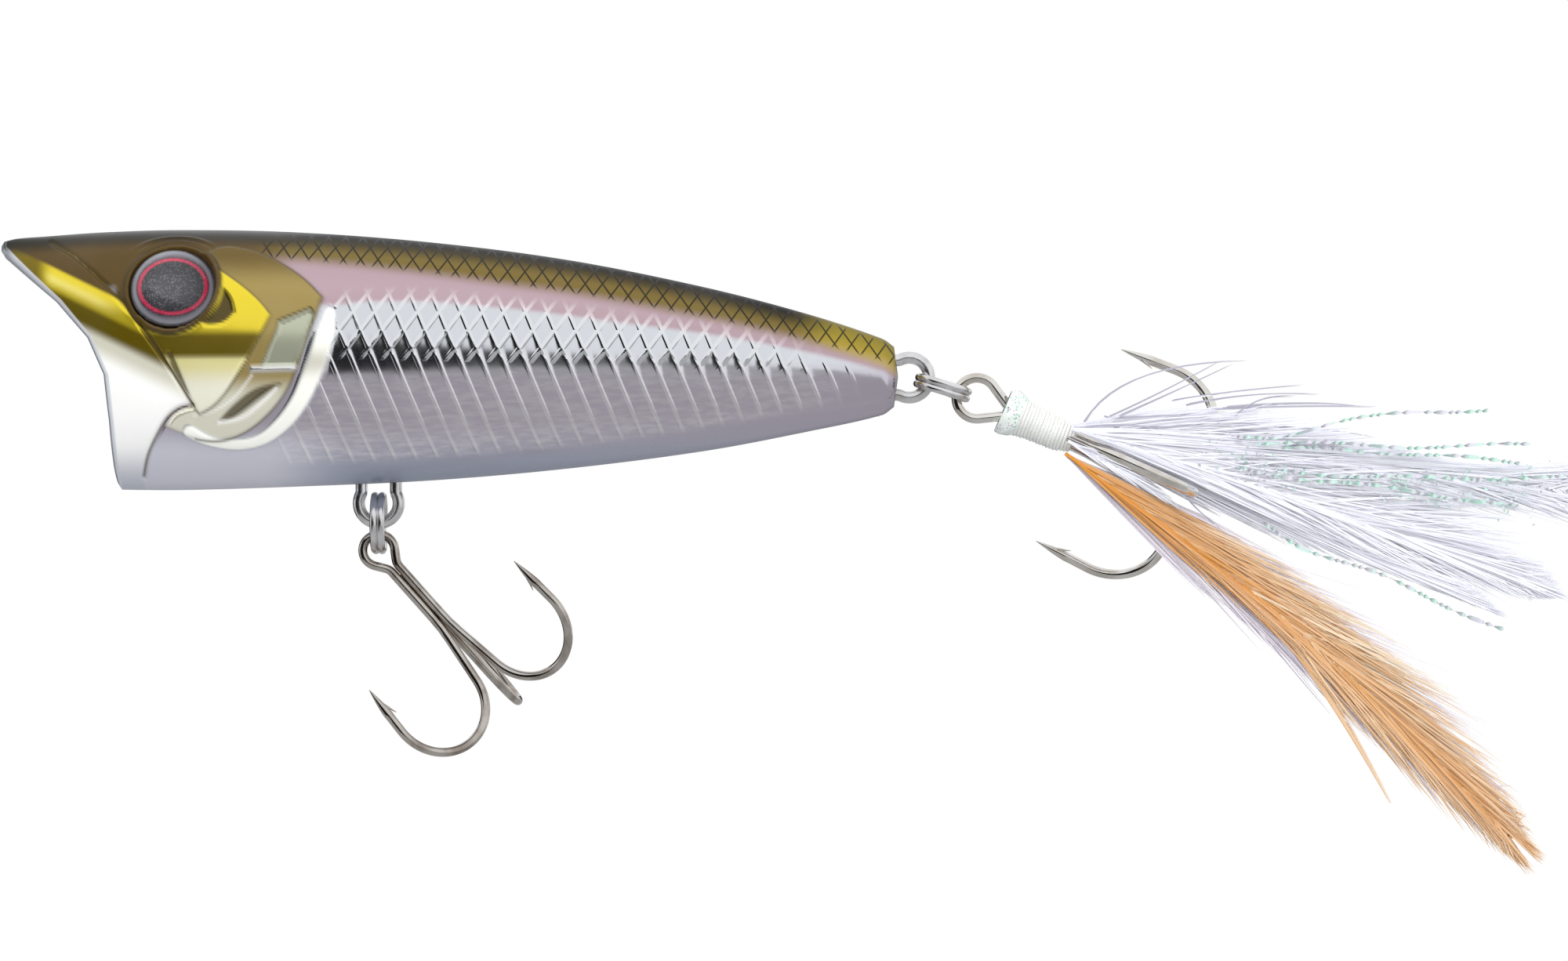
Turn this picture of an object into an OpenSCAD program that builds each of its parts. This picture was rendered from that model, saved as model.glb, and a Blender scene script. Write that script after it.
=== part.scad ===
// Topwater popper: a hollow two-piece lure body with a cupped mouth, a belly
// treble and a feather-dressed tail treble on split rings.
// Millimetres. +Z is up, the nose points along -X, the left side is -Y.
// The origin is the centre of the line tie's hole, inside the mouth cup.

/* [Body] */
// Wall thickness of the moulded half shells
shell_wall = 1.2; // [1.0:0.1:1.3]
// Thickness of the thin rim round the mouth cup
rim_wall = 0.8; // [0.6:0.1:1.0]
// Roundness of the body's cross-section, 2 for an ellipse
section_power = 2.2; // [2:0.1:2.6]
// Sides of the body's cross-section
section_sides = 40; // [24:4:48]
// Thickness of the silver foil insert
foil_thickness = 0.25; // [0.2:0.05:0.3]

/* [Eye] */
// Diameter of the clear domed eye
eye_diameter = 7.4; // [6.5:0.1:7.6]
// How far the eye's axis is tilted up, degrees
eye_tilt = 24; // [18:1:30]
// Radius of the dome's surface
dome_radius = 5.2; // [4.6:0.1:6]

/* [Wire forms] */
// Diameter of the hanger wire
hanger_wire = 1.06; // [0.98:0.02:1.1]
// Mean radius of a hanger's loop
hanger_loop = 1.75; // [1.72:0.01:1.8]
// Diameter of the line tie's wire
tie_wire = 0.96; // [0.8:0.02:1.0]
// Radius of the line tie's hole
tie_hole = 0.9; // [0.8:0.05:0.95]

/* [Hooks] */
// Diameter of the belly treble's wire
belly_wire = 0.8; // [0.7:0.02:0.8]
// Diameter of the tail treble's wire
tail_wire = 0.86; // [0.76:0.02:0.86]
// Angle between the belly treble's shank and straight down
belly_hook_tilt = 41.7; // [0:0.1:60]
// Angle between the tail treble's shank and straight back
tail_hook_droop = 24; // [10:0.5:35]
// Angle between the tail split ring and straight back
tail_ring_droop = 17; // [5:0.5:25]

/* [Dressing] */
// Length of the thread wrap on the tail treble's shank
wrap_length = 6.6; // [5:0.1:7]
// Thickness of each feather's plain solid
feather_thickness = 0.4; // [0.3:0.05:0.45]

/* [Hidden] */

tiny = 0.01;
round_sides = 48;
wire_sides = 32;
cut_sides = 28;
tube_sides = 12;
arc_step = 12;

// Body stations: x, top, bottom, half width.
body_keys = [
    [-13.7, 11.15, -10.4, 1.0],
    [-12.6, 11.4, -10.5, 2.8],
    [-10.0, 11.6, -10.6, 4.6],
    [-5.0, 11.95, -10.65, 6.6],
    [2.0, 12.15, -10.7, 8.1],
    [12.0, 11.95, -10.4, 8.4],
    [24.0, 11.05, -9.85, 8.0],
    [36.0, 9.5, -8.8, 6.8],
    [48.0, 7.1, -7.25, 5.1],
    [57.0, 4.75, -5.55, 3.7],
    [63.5, 2.6, -4.1, 2.6],
    [64.5, 1.9, -3.4, 2.0]
];
steps_per_key = 3;

// The mouth's rim seen from the side: height, x.
rim_keys = [
    [-12.0, -3.2],
    [-9.0, -3.4],
    [-4.8, -3.6],
    [-0.7, -4.0],
    [2.6, -5.45],
    [5.9, -8.35],
    [8.4, -11.2],
    [10.9, -14.0]
];
rim_steps = 30;

// The mouth cup's hollow: an ellipsoid kept inside the rim wall.
cup_centre = [-8, 0, 0.2];
cup_radii = [11.6, 6.8, 11.4];

cavity_front = 6.8;
cavity_back = 62.4;

eye_x = 1.8;
eye_z = 7.0;
eye_socket_depth = 1.7;
eye_disc_thickness = 0.4;
eye_gap = 0.04;
lens_edge = 0.9;

belly_hanger_x = 19.2;
belly_hanger_z = -11.85;
tail_hanger_x = 65.84;
tail_hanger_z = -0.81;
hanger_flare = 25;
hanger_neck_radius = 0.8;
hanger_foot_radius = 0.9;
hanger_foot = 1.0;
belly_leg = 1.5;
tail_leg = 1.2;
wire_groove_gap = 0.03;

tie_ring = tie_hole + tie_wire / 2 - 0.08;
tie_shank_end = 9.0;
tie_foot = 3.2;

// A split ring is two turns of wire side by side.
coil_radius = 0.34;
coil_offset = 0.31;
belly_ring_radius = 2.4;
tail_ring_radius = 2.25;
ring_play = 0.06;

belly_ring_centre = [belly_hanger_x, 0, belly_hanger_z - hanger_loop];
belly_hook_eye = belly_ring_centre - [0, 0, belly_ring_radius];
tail_ring_out = hanger_loop - hanger_wire / 2 - ring_play + tail_ring_radius - coil_radius;
tail_way = [cos(tail_ring_droop), 0, -sin(tail_ring_droop)];
tail_ring_centre = [tail_hanger_x, 0, tail_hanger_z] + tail_ring_out * tail_way;
tail_eye_reach = 0.9;
tail_hook_eye = tail_ring_centre + (tail_ring_radius + tail_eye_reach) * tail_way;

// Trebles: wire radius, eye radius, eye taper angle, taper bend radius,
// straight shank, bend radius, straight part of the point, cone of the point.
belly_treble = [belly_wire / 2, 1.4, 34, 1.2, 5.5, 4.4, 1.6, 3.0];
tail_treble = [tail_wire / 2, 1.8, 30, 1.5, 6.5, 4.9, 1.8, 3.3];
wire_gap = 0.03;
flare_angle = 9;
flare_radius = 14;
flare_length = 4.4;
point_lean = 4;
pair_spread = 30;
tip_radius = 0.04;

// Locating pins of the half shells: x, z.
pins = [[12, 9.8], [38, 6.9], [27, -7.6], [58, -1]];
pin_radius = 0.6;
pin_gap = 0.05;
pin_length = 1.4;
boss_radius = 1.1;

weight_radius = 2.0;
weight_length = 7;
weight_x = 48.5;
weight_z = -0.8;
tube_radius = 2.6;
tube_bore = 2.2;
tube_x = 29;
tube_z = -4.7;
tube_length = 12;
cap_length = 0.8;
ball_radius = 2.0;
rib = 0.9;
seat_gap = 0.03;

foil_front = 9;
foil_back = 47;
foil_margin = 3.5;
foil_seam_gap = 0.6;

// Feathers on the tail treble: start and end along the shank and across it
// (positive above the shank), widest width, and the layer's place in y.
wrap_start = 2.7;
feathers_start = wrap_start + wrap_length + 0.05;
upper_white = [[feathers_start, 1.9], [54.6, 19.0], 5.6, -1.35];
middle_white = [[feathers_start, 1.5], [53.0, 7.0], 7.5, -1.9];
lower_white = [[feathers_start, 0.2], [49.0, 1.5], 5.0, 1.42];
tan_blade = [[feathers_start, -1.0], [61.0, -17.0], 6.0, -1.35];
pale_blade = [[feathers_start, -1.2], [58.5, -18.8], 5.0, -1.9];
tinsel_ends = [[46.5, 18.3], [49.0, 15.2], [47.5, 13.4], [47.0, -1.2]];
tinsel_start = [feathers_start, 0.9];
tinsel_radius = 0.16;
tinsel_layer = -2.95;
blade_sides = 12;

// Cubic through keys whose first column is the position. c is the column.
function key_before(k, x) = max([for (i = [0:len(k) - 2]) if (i == 0 || x >= k[i][0]) i]);
function key_slope(k, i, c) =
    let (a = max(i - 1, 0), b = min(i + 1, len(k) - 1))
    (k[b][c] - k[a][c]) / (k[b][0] - k[a][0]);
function along(k, x, c) =
    let (
        i = key_before(k, x),
        h = k[i + 1][0] - k[i][0],
        t = (x - k[i][0]) / h,
        a = key_slope(k, i, c) * h,
        b = key_slope(k, i + 1, c) * h
    )
    (2 * t ^ 3 - 3 * t ^ 2 + 1) * k[i][c] + (t ^ 3 - 2 * t ^ 2 + t) * a
    + (3 * t ^ 2 - 2 * t ^ 3) * k[i + 1][c] + (t ^ 3 - t ^ 2) * b;

function signed_power(v, p) = sign(v) * abs(v) ^ p;

// Cross-section of the body at x, moved in by inset.
function ring(x, inset) =
    let (
        top = along(body_keys, x, 1) - inset,
        bottom = along(body_keys, x, 2) + inset,
        half = max(along(body_keys, x, 3) - inset, 0.1)
    )
    [for (i = [0:section_sides - 1])
        let (a = 360 * i / section_sides)
        [
            x,
            half * signed_power(cos(a), 2 / section_power),
            (top + bottom) / 2 + (top - bottom) / 2 * signed_power(sin(a), 2 / section_power)
        ]];

// Distance of the body's side from the middle plane at x and z.
function side(x, z) =
    let (
        top = along(body_keys, x, 1),
        bottom = along(body_keys, x, 2),
        share = abs(z - (top + bottom) / 2) / ((top - bottom) / 2)
    )
    along(body_keys, x, 3) * (1 - share ^ section_power) ^ (1 / section_power);

// Stations from x = a to x = b, on every key between them and in steps.
function stations(a, b) =
    let (
        inner = [for (k = body_keys) if (k[0] > a + tiny && k[0] < b - tiny) k[0]],
        marks = concat([a], inner, [b])
    )
    concat(
        [for (i = [0:len(marks) - 2]) for (s = [0:steps_per_key - 1])
            marks[i] + (marks[i + 1] - marks[i]) * s / steps_per_key],
        [b]
    );

module skin(a, b) {
    n = len(a);
    hull()
        polyhedron(
            points = concat(a, b),
            faces = [[for (i = [0:n - 1]) i], [for (i = [n - 1:-1:0]) n + i]]
        );
}

module loft(from, to, inset) {
    xs = stations(from, to);
    for (i = [0:len(xs) - 2])
        skin(ring(xs[i], inset), ring(xs[i + 1], inset));
}

module body_solid() {
    loft(body_keys[0][0], body_keys[len(body_keys) - 1][0], 0);
}

// Everything in front of the mouth's rim.
module mouth_cut() {
    low = rim_keys[0][0];
    high = rim_keys[len(rim_keys) - 1][0];
    rotate([90, 0, 0])
        linear_extrude(height = 40, center = true)
            polygon(concat(
                [for (i = [0:rim_steps])
                    let (z = low + (high - low) * i / rim_steps)
                    [along(rim_keys, z, 1), z]],
                [[-30, high], [-30, low]]
            ));
}

module mouth_cup() {
    intersection() {
        loft(body_keys[0][0], cavity_front, rim_wall);
        translate(cup_centre)
            scale(cup_radii)
                sphere(r = 1, $fn = section_sides);
    }
}

// Places children on the eye's axis: +Z outward, with z = 0 on the body's side.
module at_eye(way) {
    translate([eye_x, way * side(eye_x, eye_z), eye_z])
        rotate([way * -(90 - eye_tilt), 0, 0])
            children();
}

module slab(x) {
    translate([x, -20, -20])
        cube([rib, 40, 40]);
}

// Ribs that seat the tail weight and the rattle tube, and the pins' bosses.
module ribs() {
    intersection() {
        loft(cavity_front - 1, cavity_back + 1, shell_wall / 2);
        union() {
            for (x = [weight_x + 0.5, weight_x + weight_length - 0.5 - rib])
                slab(x);
            for (x = [tube_x + 1, tube_x + tube_length - 1 - rib])
                intersection() {
                    slab(x);
                    translate([0, -3.2, -20])
                        cube([60, 6.4, 20 + tube_z + 0.5]);
                }
            for (p = pins)
                translate([p[0], 0, p[1]])
                    rotate([90, 0, 0])
                        cylinder(h = 40, r = boss_radius, center = true, $fn = cut_sides);
        }
    }
}

// What the wire forms, the weight, the tube and the eyes take out of the shells.
module shell_cuts() {
    at_belly_hanger()
        hanger(belly_leg, wire_groove_gap);
    at_tail_hanger()
        hanger(tail_leg, wire_groove_gap);
    for (s = [-1, 1])
        at_eye(s)
            translate([0, 0, -eye_socket_depth])
                cylinder(h = 10, r = eye_diameter / 2 + eye_gap, $fn = 2 * cut_sides);
    rotate([0, 90, 0])
        cylinder(h = tie_shank_end, r = tie_wire / 2 + wire_groove_gap, $fn = cut_sides);
    translate([weight_x - seat_gap, 0, weight_z])
        rotate([0, 90, 0])
            cylinder(h = weight_length + 2 * seat_gap, r = weight_radius + seat_gap, $fn = round_sides);
    translate([tube_x, 0, tube_z])
        rotate([0, 90, 0])
            cylinder(h = tube_length + cap_length, r = tube_radius + seat_gap, $fn = round_sides);
}

module pin_set(radius, length) {
    for (p = pins)
        translate([p[0], 0, p[1]])
            rotate([-90, 0, 0])
                cylinder(h = length, r = radius, $fn = cut_sides);
}

// One half of the body. way is -1 for the left side and 1 for the right.
module half_shell(way) {
    difference() {
        union() {
            difference() {
                body_solid();
                loft(cavity_front, cavity_back, shell_wall);
            }
            ribs();
        }
        mouth_cut();
        mouth_cup();
        shell_cuts();
        translate([-50, way > 0 ? -40 : 0, -50])
            cube([150, 40, 100]);
    }
}

module left_shell() {
    color("lightsteelblue") {
        half_shell(-1);
        pin_set(pin_radius, pin_length);
        // Each pin reaches back into its boss.
        mirror([0, 1, 0])
            pin_set(pin_radius, 1);
    }
}

module right_shell() {
    color("lightsteelblue")
        difference() {
            half_shell(1);
            pin_set(pin_radius + pin_gap, pin_length + pin_gap);
        }
}

module foil(way) {
    outer = shell_wall + 0.04;
    difference() {
        loft(foil_front, foil_back, outer);
        loft(foil_front - 1, foil_back + 1, outer + foil_thickness);
        translate([-50, way > 0 ? -40 + foil_seam_gap : -foil_seam_gap, -50])
            cube([150, 40, 100]);
        // The foil stops short of the back and the belly.
        for (c = [1, 2])
            rotate([90, 0, 0])
                linear_extrude(height = 40, center = true)
                    polygon(concat(
                        [for (x = [foil_front - 2:3.1:foil_back + 5])
                            [x, along(body_keys, x, c) + (c == 1 ? -1 : 1) * foil_margin]],
                        [[foil_back + 6, c == 1 ? 30 : -30], [foil_front - 3, c == 1 ? 30 : -30]]
                    ));
    }
}

module left_foil() {
    color("silver")
        foil(-1);
}

module right_foil() {
    color("silver")
        foil(1);
}

module eye_lens(way) {
    base = -eye_socket_depth + eye_disc_thickness;
    at_eye(way)
        translate([0, 0, base])
            rotate_extrude($fn = round_sides)
                intersection() {
                    square([eye_diameter / 2, 10]);
                    translate([0, lens_edge - sqrt(dome_radius ^ 2 - (eye_diameter / 2) ^ 2)])
                        circle(r = dome_radius, $fn = round_sides);
                }
}

module eye_disc(way) {
    at_eye(way)
        translate([0, 0, -eye_socket_depth])
            cylinder(h = eye_disc_thickness, r = eye_diameter / 2, $fn = round_sides);
}

module left_eye_lens() {
    color("ghostwhite")
        eye_lens(-1);
}

module right_eye_lens() {
    color("ghostwhite")
        eye_lens(1);
}

module left_eye_disc() {
    color("crimson")
        eye_disc(-1);
}

module right_eye_disc() {
    color("crimson")
        eye_disc(1);
}

// A bent round wire as one swept solid. It starts along +Z, and each step is:
// ["line", length], ["arc", radius, angle], ["roll", angle], ["point", length].
// An arc with a positive angle bends towards the wire's own +X.
// A frame is [place, x direction, y direction, way along, roll so far, radius].
function wire_frames(f, steps, i = 0) =
    i == len(steps) ? [f] :
    let (
        s = steps[i],
        turn = s[0] == "arc" ? abs(s[2]) : 0,
        way = s[0] == "arc" ? sign(s[2]) : 0,
        parts = s[0] == "arc" ? ceil(turn / arc_step) : 1,
        next = s[0] == "roll"
            ? [f[0], cos(s[1]) * f[1] + sin(s[1]) * f[2],
                cos(s[1]) * f[2] - sin(s[1]) * f[1], f[3], f[4] + s[1], f[5]]
            : s[0] == "arc" ? bent(f, s[1], way, turn)
            : [f[0] + s[1] * f[3], f[1], f[2], f[3], f[4], s[0] == "point" ? tip_radius : f[5]]
    )
    concat(
        s[0] == "roll" ? [] : s[0] == "arc"
            ? [for (k = [0:parts - 1]) bent(f, s[1], way, turn * k / parts)]
            : [f],
        wire_frames(next, steps, i + 1)
    );
function bent(f, r, way, turn) = [
    f[0] + r * (way * (1 - cos(turn)) * f[1] + sin(turn) * f[3]),
    cos(turn) * f[1] - way * sin(turn) * f[3],
    f[2],
    cos(turn) * f[3] + way * sin(turn) * f[1],
    f[4],
    f[5]
];
function wire_ring(f) = [for (i = [0:tube_sides - 1])
    let (a = 360 * (i + 0.5) / tube_sides - f[4])
    f[0] + f[5] * (cos(a) * f[1] + sin(a) * f[2])];
function flipped(ring) = [for (p = ring) [-p[0], p[1], p[2]]];
function backwards(list) = [for (i = [len(list) - 1:-1:0]) list[i]];

module tube(rings) {
    n = tube_sides;
    last = len(rings) - 1;
    polyhedron(
        points = [for (r = rings) for (p = r) p],
        faces = concat(
            [[for (j = [0:n - 1]) j]],
            [for (i = [0:last - 1]) for (j = [0:n - 1])
                [i * n + j, (i + 1) * n + j, (i + 1) * n + (j + 1) % n, i * n + (j + 1) % n]],
            [[for (j = [n - 1:-1:0]) last * n + j]]
        )
    );
}

// The barb stands back from the point on its inner side.
module barb(frames) {
    f = frames[len(frames) - 2];
    place = f[0] + f[5] * 0.2 * f[1] + 0.9 * f[3];
    multmatrix([for (i = [0:2]) [f[1][i], f[2][i], f[3][i], place[i]]])
        rotate([0, 158, 0])
            cylinder(h = 1.5, r1 = f[5] * 0.55, r2 = tip_radius, $fn = 8);
}

// A wire that runs both ways from a start in the plane x = 0.
module twin_wire(frames) {
    rings = [for (f = frames) wire_ring(f)];
    tube(concat(
        [for (r = backwards(rings)) flipped(r)],
        [for (i = [1:len(rings) - 1]) rings[i]]
    ));
}

// Loop with two legs: the loop's centre is the origin and the legs go along +Z.
module hanger(leg, grow = 0) {
    start = [[0, 0, -hanger_loop], [0, 0, -1], [0, 1, 0], [1, 0, 0], 0, hanger_wire / 2 + grow];
    twin_wire(wire_frames(start, [
        ["arc", hanger_loop, -90 - hanger_flare],
        ["arc", hanger_neck_radius, hanger_flare],
        ["line", leg],
        ["arc", hanger_foot_radius, 90],
        ["line", hanger_foot + grow]
    ]));
}

module at_belly_hanger() {
    translate([belly_hanger_x, 0, belly_hanger_z])
        children();
}

module at_tail_hanger() {
    translate([tail_hanger_x, 0, tail_hanger_z])
        rotate([0, -90, 0])
            children();
}

module belly_hanger() {
    color("gainsboro")
        at_belly_hanger()
            hanger(belly_leg);
}

module tail_hanger() {
    color("gainsboro")
        at_tail_hanger()
            hanger(tail_leg);
}

module line_tie() {
    color("gainsboro") {
        // The eye's inner face is pressed flat, so the hole has a true wall.
        rotate([90, 0, 0])
            rotate_extrude($fn = round_sides)
                intersection() {
                    translate([tie_ring, 0])
                        circle(r = tie_wire / 2, $fn = wire_sides);
                    translate([tie_hole, -1])
                        square([3, 2]);
                }
        translate([tie_ring, 0, 0])
            rotate([0, 90, 0])
                cylinder(h = tie_shank_end - tie_ring, r = tie_wire / 2 - 0.02, $fn = wire_sides);
        translate([tie_shank_end, 0, -tie_foot / 2])
            cylinder(h = tie_foot, r = tie_wire / 2, $fn = wire_sides);
    }
}

module tail_weight() {
    color("goldenrod")
        translate([weight_x, 0, weight_z])
            rotate([0, 90, 0])
                cylinder(h = weight_length, r = weight_radius, $fn = round_sides);
}

module rattle_tube() {
    color("white")
        translate([tube_x, 0, tube_z])
            rotate([0, 90, 0])
                difference() {
                    cylinder(h = tube_length, r = tube_radius, $fn = round_sides);
                    translate([0, 0, cap_length])
                        cylinder(h = tube_length, r = tube_bore, $fn = round_sides);
                }
}

module rattle_cap() {
    color("white")
        translate([tube_x + tube_length, 0, tube_z])
            rotate([0, 90, 0])
                cylinder(h = cap_length, r = tube_radius, $fn = round_sides);
}

module rattle_ball() {
    color("gray")
        translate([tube_x + (tube_length + cap_length) / 2, 0, tube_z])
            sphere(r = ball_radius, $fn = round_sides);
}

module split_ring(radius) {
    rotate_extrude($fn = 2 * round_sides)
        for (s = [-1, 1])
            translate([radius, s * coil_offset])
                circle(r = coil_radius, $fn = wire_sides);
}

module belly_split_ring() {
    color("silver")
        translate(belly_ring_centre)
            rotate([0, 90, 0])
                split_ring(belly_ring_radius);
}

module tail_split_ring() {
    color("silver")
        translate(tail_ring_centre)
            rotate([0, tail_ring_droop, 0])
                split_ring(tail_ring_radius);
}

// Bend and point shared by the three hooks of a treble.
function hook_steps(t) = [
    ["arc", flare_radius, flare_angle],
    ["line", flare_length],
    ["arc", t[5], 180 + point_lean - flare_angle],
    ["line", t[6]],
    ["point", t[7]]
];
// Half the distance between the pair's two shanks.
function pair_offset(t) = t[0] + wire_gap / 2;
// Straight side of the eye, from its round top to the taper's end bend.
function eye_side(t) =
    (t[1] * cos(t[2]) - t[3] * (1 - cos(t[2])) - pair_offset(t)) / sin(t[2]);
// Depth below the eye's centre where the shanks run side by side.
function eye_end(t) = (t[1] + t[3]) * sin(t[2]) + eye_side(t) * cos(t[2]);

// Two of a treble's hooks, bent from one wire that also makes the eye.
// The eye's centre is the origin and the shank goes along -Z.
module hook_pair(t) {
    start = [[0, 0, t[1]], [0, 0, -1], [0, 1, 0], [1, 0, 0], 0, t[0]];
    frames = wire_frames(start, concat([
        ["arc", t[1], 90 + t[2]],
        ["line", eye_side(t)],
        ["arc", t[3], -t[2]],
        ["line", t[4]],
        ["roll", 180 + pair_spread]
    ], hook_steps(t)));
    twin_wire(frames);
    for (m = [0, 1])
        mirror([m, 0, 0])
            barb(frames);
}

// The third hook, brazed into the groove between the other two shanks.
module hook_single(t) {
    top = eye_end(t) + 0.6;
    place = [0, sqrt(3) * pair_offset(t) + wire_gap / 2, -top];
    start = [place, [0, 1, 0], [1, 0, 0], [0, 0, -1], 0, t[0]];
    frames = wire_frames(start, concat([["line", t[4] - 0.6]], hook_steps(t)));
    tube([for (f = frames) wire_ring(f)]);
    barb(frames);
}

// The belly treble hangs back from its eye, with its third hook on the right.
module at_belly_hook() {
    translate(belly_hook_eye)
        rotate([0, -belly_hook_tilt, 0])
            children();
}

// The tail treble trails behind its eye, with its third hook on the left.
module at_tail_hook() {
    translate(tail_hook_eye)
        rotate([0, -(90 - tail_hook_droop), 0])
            mirror([0, 1, 0])
                children();
}

module belly_hook_pair() {
    color("dimgray")
        at_belly_hook()
            hook_pair(belly_treble);
}

module belly_hook_single() {
    color("dimgray")
        at_belly_hook()
            hook_single(belly_treble);
}

module tail_hook_pair() {
    color("silver")
        at_tail_hook()
            hook_pair(tail_treble);
}

module tail_hook_single() {
    color("silver")
        at_tail_hook()
            hook_single(tail_treble);
}

// Whipping thread round the shanks, wider where it runs up on to the eye.
module thread_wrap() {
    inner = [[1.74, 0], [1.27, 1.9], [1.27, wrap_length]];
    outer = [[1.42, wrap_length], [1.6, 2.6], [2.05, 0.5], [1.95, 0]];
    color("snow")
        at_tail_hook()
            translate([0, 0, -wrap_start])
                rotate([180, 0, 0])
                    rotate_extrude($fn = round_sides)
                        polygon(concat(inner, outer));
}

// Places children in the tail treble's own plane: x along the shank away from
// the eye, y across it and up, with the layer at a stated y of the body.
module at_dressing(layer) {
    translate(tail_hook_eye + [0, layer, 0])
        rotate([90, 0, 0])
            rotate([0, 0, -tail_hook_droop])
                children();
}

// A feather's plain solid: a leaf of even thickness from its root to its tip.
module blade(f) {
    way = f[1] - f[0];
    reach = norm(way);
    half = [for (i = [0:blade_sides])
        let (t = i / blade_sides)
        [reach * t, f[2] / 2 * (0.12 + 0.88 * sin(180 * t ^ 1.1) ^ 1.2) * (1 - 0.5 * t ^ 6)]];
    at_dressing(f[3])
        linear_extrude(height = feather_thickness, center = true)
            translate(f[0])
                rotate([0, 0, atan2(way[1], way[0])])
                    polygon(concat(half, [for (i = [blade_sides:-1:0]) [half[i][0], -half[i][1]]]));
}

module upper_white_feather() {
    color("white")
        blade(upper_white);
}

module middle_white_feather() {
    color("white")
        blade(middle_white);
}

module lower_white_feather() {
    color("white")
        blade(lower_white);
}

module tan_feather() {
    color("sandybrown")
        blade(tan_blade);
}

module pale_under_feather() {
    color("lavender")
        blade(pale_blade);
}

module tinsel_strands() {
    color("honeydew")
        for (i = [0:len(tinsel_ends) - 1]) {
            start = tinsel_start + [0, -0.6 * i];
            way = tinsel_ends[i] - start;
            at_dressing(tinsel_layer)
                translate([start[0], start[1], 0])
                    rotate([0, 0, atan2(way[1], way[0])])
                        rotate([0, 90, 0])
                            cylinder(h = norm(way), r = tinsel_radius, $fn = wire_sides);
        }
}

left_shell();
right_shell();
left_foil();
right_foil();
left_eye_lens();
right_eye_lens();
left_eye_disc();
right_eye_disc();
line_tie();
belly_hanger();
tail_hanger();
tail_weight();
rattle_tube();
rattle_cap();
rattle_ball();
belly_split_ring();
belly_hook_pair();
belly_hook_single();
tail_split_ring();
tail_hook_pair();
tail_hook_single();
thread_wrap();
upper_white_feather();
middle_white_feather();
lower_white_feather();
tan_feather();
pale_under_feather();
tinsel_strands();
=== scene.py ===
import math
import random

import bpy
import numpy as np
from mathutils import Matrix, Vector


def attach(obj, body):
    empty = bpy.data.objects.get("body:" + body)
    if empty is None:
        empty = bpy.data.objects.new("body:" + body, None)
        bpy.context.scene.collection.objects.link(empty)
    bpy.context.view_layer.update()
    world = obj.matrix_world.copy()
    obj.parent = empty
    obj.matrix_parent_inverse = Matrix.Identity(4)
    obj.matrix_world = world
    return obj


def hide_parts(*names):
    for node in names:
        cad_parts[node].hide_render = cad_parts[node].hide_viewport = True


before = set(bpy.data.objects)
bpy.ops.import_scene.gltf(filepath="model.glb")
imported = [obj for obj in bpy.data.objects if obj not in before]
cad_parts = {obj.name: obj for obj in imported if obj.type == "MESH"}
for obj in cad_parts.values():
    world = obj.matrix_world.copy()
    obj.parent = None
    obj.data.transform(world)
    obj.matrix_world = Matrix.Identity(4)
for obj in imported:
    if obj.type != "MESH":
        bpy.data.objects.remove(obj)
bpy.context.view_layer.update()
mm = 0.001

# Camera, square on to the left side.
view = {"lens": 135, "sensor": 36, "place": (0.05483, -0.517, -0.00986)}  # mm, mm and metres
camera = bpy.data.objects.new("camera", bpy.data.cameras.new("camera"))
bpy.context.scene.collection.objects.link(camera)
bpy.context.scene.camera = camera
camera.data.lens = view["lens"]
camera.data.sensor_width = view["sensor"]
camera.data.clip_start = 0.01
camera.location = view["place"]
camera.rotation_euler = (math.pi / 2, 0, 0)
bpy.context.scene.view_settings.view_transform = "Standard"  # keeps the paper white and the paint as given


def linear(code):  # sRGB hex to linear
    parts = [int(code[i : i + 2], 16) / 255 for i in (0, 2, 4)]
    return tuple(v / 12.92 if v <= 0.04045 else ((v + 0.055) / 1.055) ** 2.4 for v in parts) + (1.0,)


def addNode(tree, kind, settings=None, links=None):
    node = tree.nodes.new(kind)
    for name, value in (settings or {}).items():
        setattr(node, name, value)
    for socket, value in (links or {}).items():
        target = node.inputs[socket]
        if isinstance(value, bpy.types.NodeSocket):
            tree.links.new(value, target)
        else:
            target.default_value = value
    return node


def newMaterial(name):
    material = bpy.data.materials.new(name)
    material.use_nodes = True
    tree = material.node_tree
    tree.nodes.clear()
    output = addNode(tree, "ShaderNodeOutputMaterial")
    surface = addNode(tree, "ShaderNodeBsdfPrincipled")
    tree.links.new(surface.outputs[0], output.inputs[0])
    return material, tree, surface


# World: white to the camera, and a studio to everything else: white above, grey below
# and a black flag at each side, which makes the dark line along the chrome.
studio = {
    "above": 0.9, "band": 0.012, "below": 0.46, "floor": 0.5,  # brightness
    # flags, tapering to the tail
    "bandTop": 0.183, "bandBottom": -0.09, "topSlope": 0.42, "bottomSlope": -0.45,
}
world = bpy.data.worlds.new("studio")
bpy.context.scene.world = world
world.use_nodes = True
tree = world.node_tree
tree.nodes.clear()
coords = addNode(tree, "ShaderNodeTexCoord")
split = addNode(tree, "ShaderNodeSeparateXYZ", {}, {0: coords.outputs["Generated"]})
height = split.outputs[2]
low = addNode(
    tree, "ShaderNodeMapRange", {"interpolation_type": "SMOOTHSTEP"},
    {0: height, 1: -0.98, 2: -0.6, 3: studio["floor"], 4: studio["below"]},
).outputs[0]
upperEdge = addNode(
    tree, "ShaderNodeMath", {"operation": "MULTIPLY_ADD"},
    {0: split.outputs[0], 1: studio["topSlope"], 2: height},
).outputs[0]
lowerEdge = addNode(
    tree, "ShaderNodeMath", {"operation": "MULTIPLY_ADD"},
    {0: split.outputs[0], 1: studio["bottomSlope"], 2: height},
).outputs[0]
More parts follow.
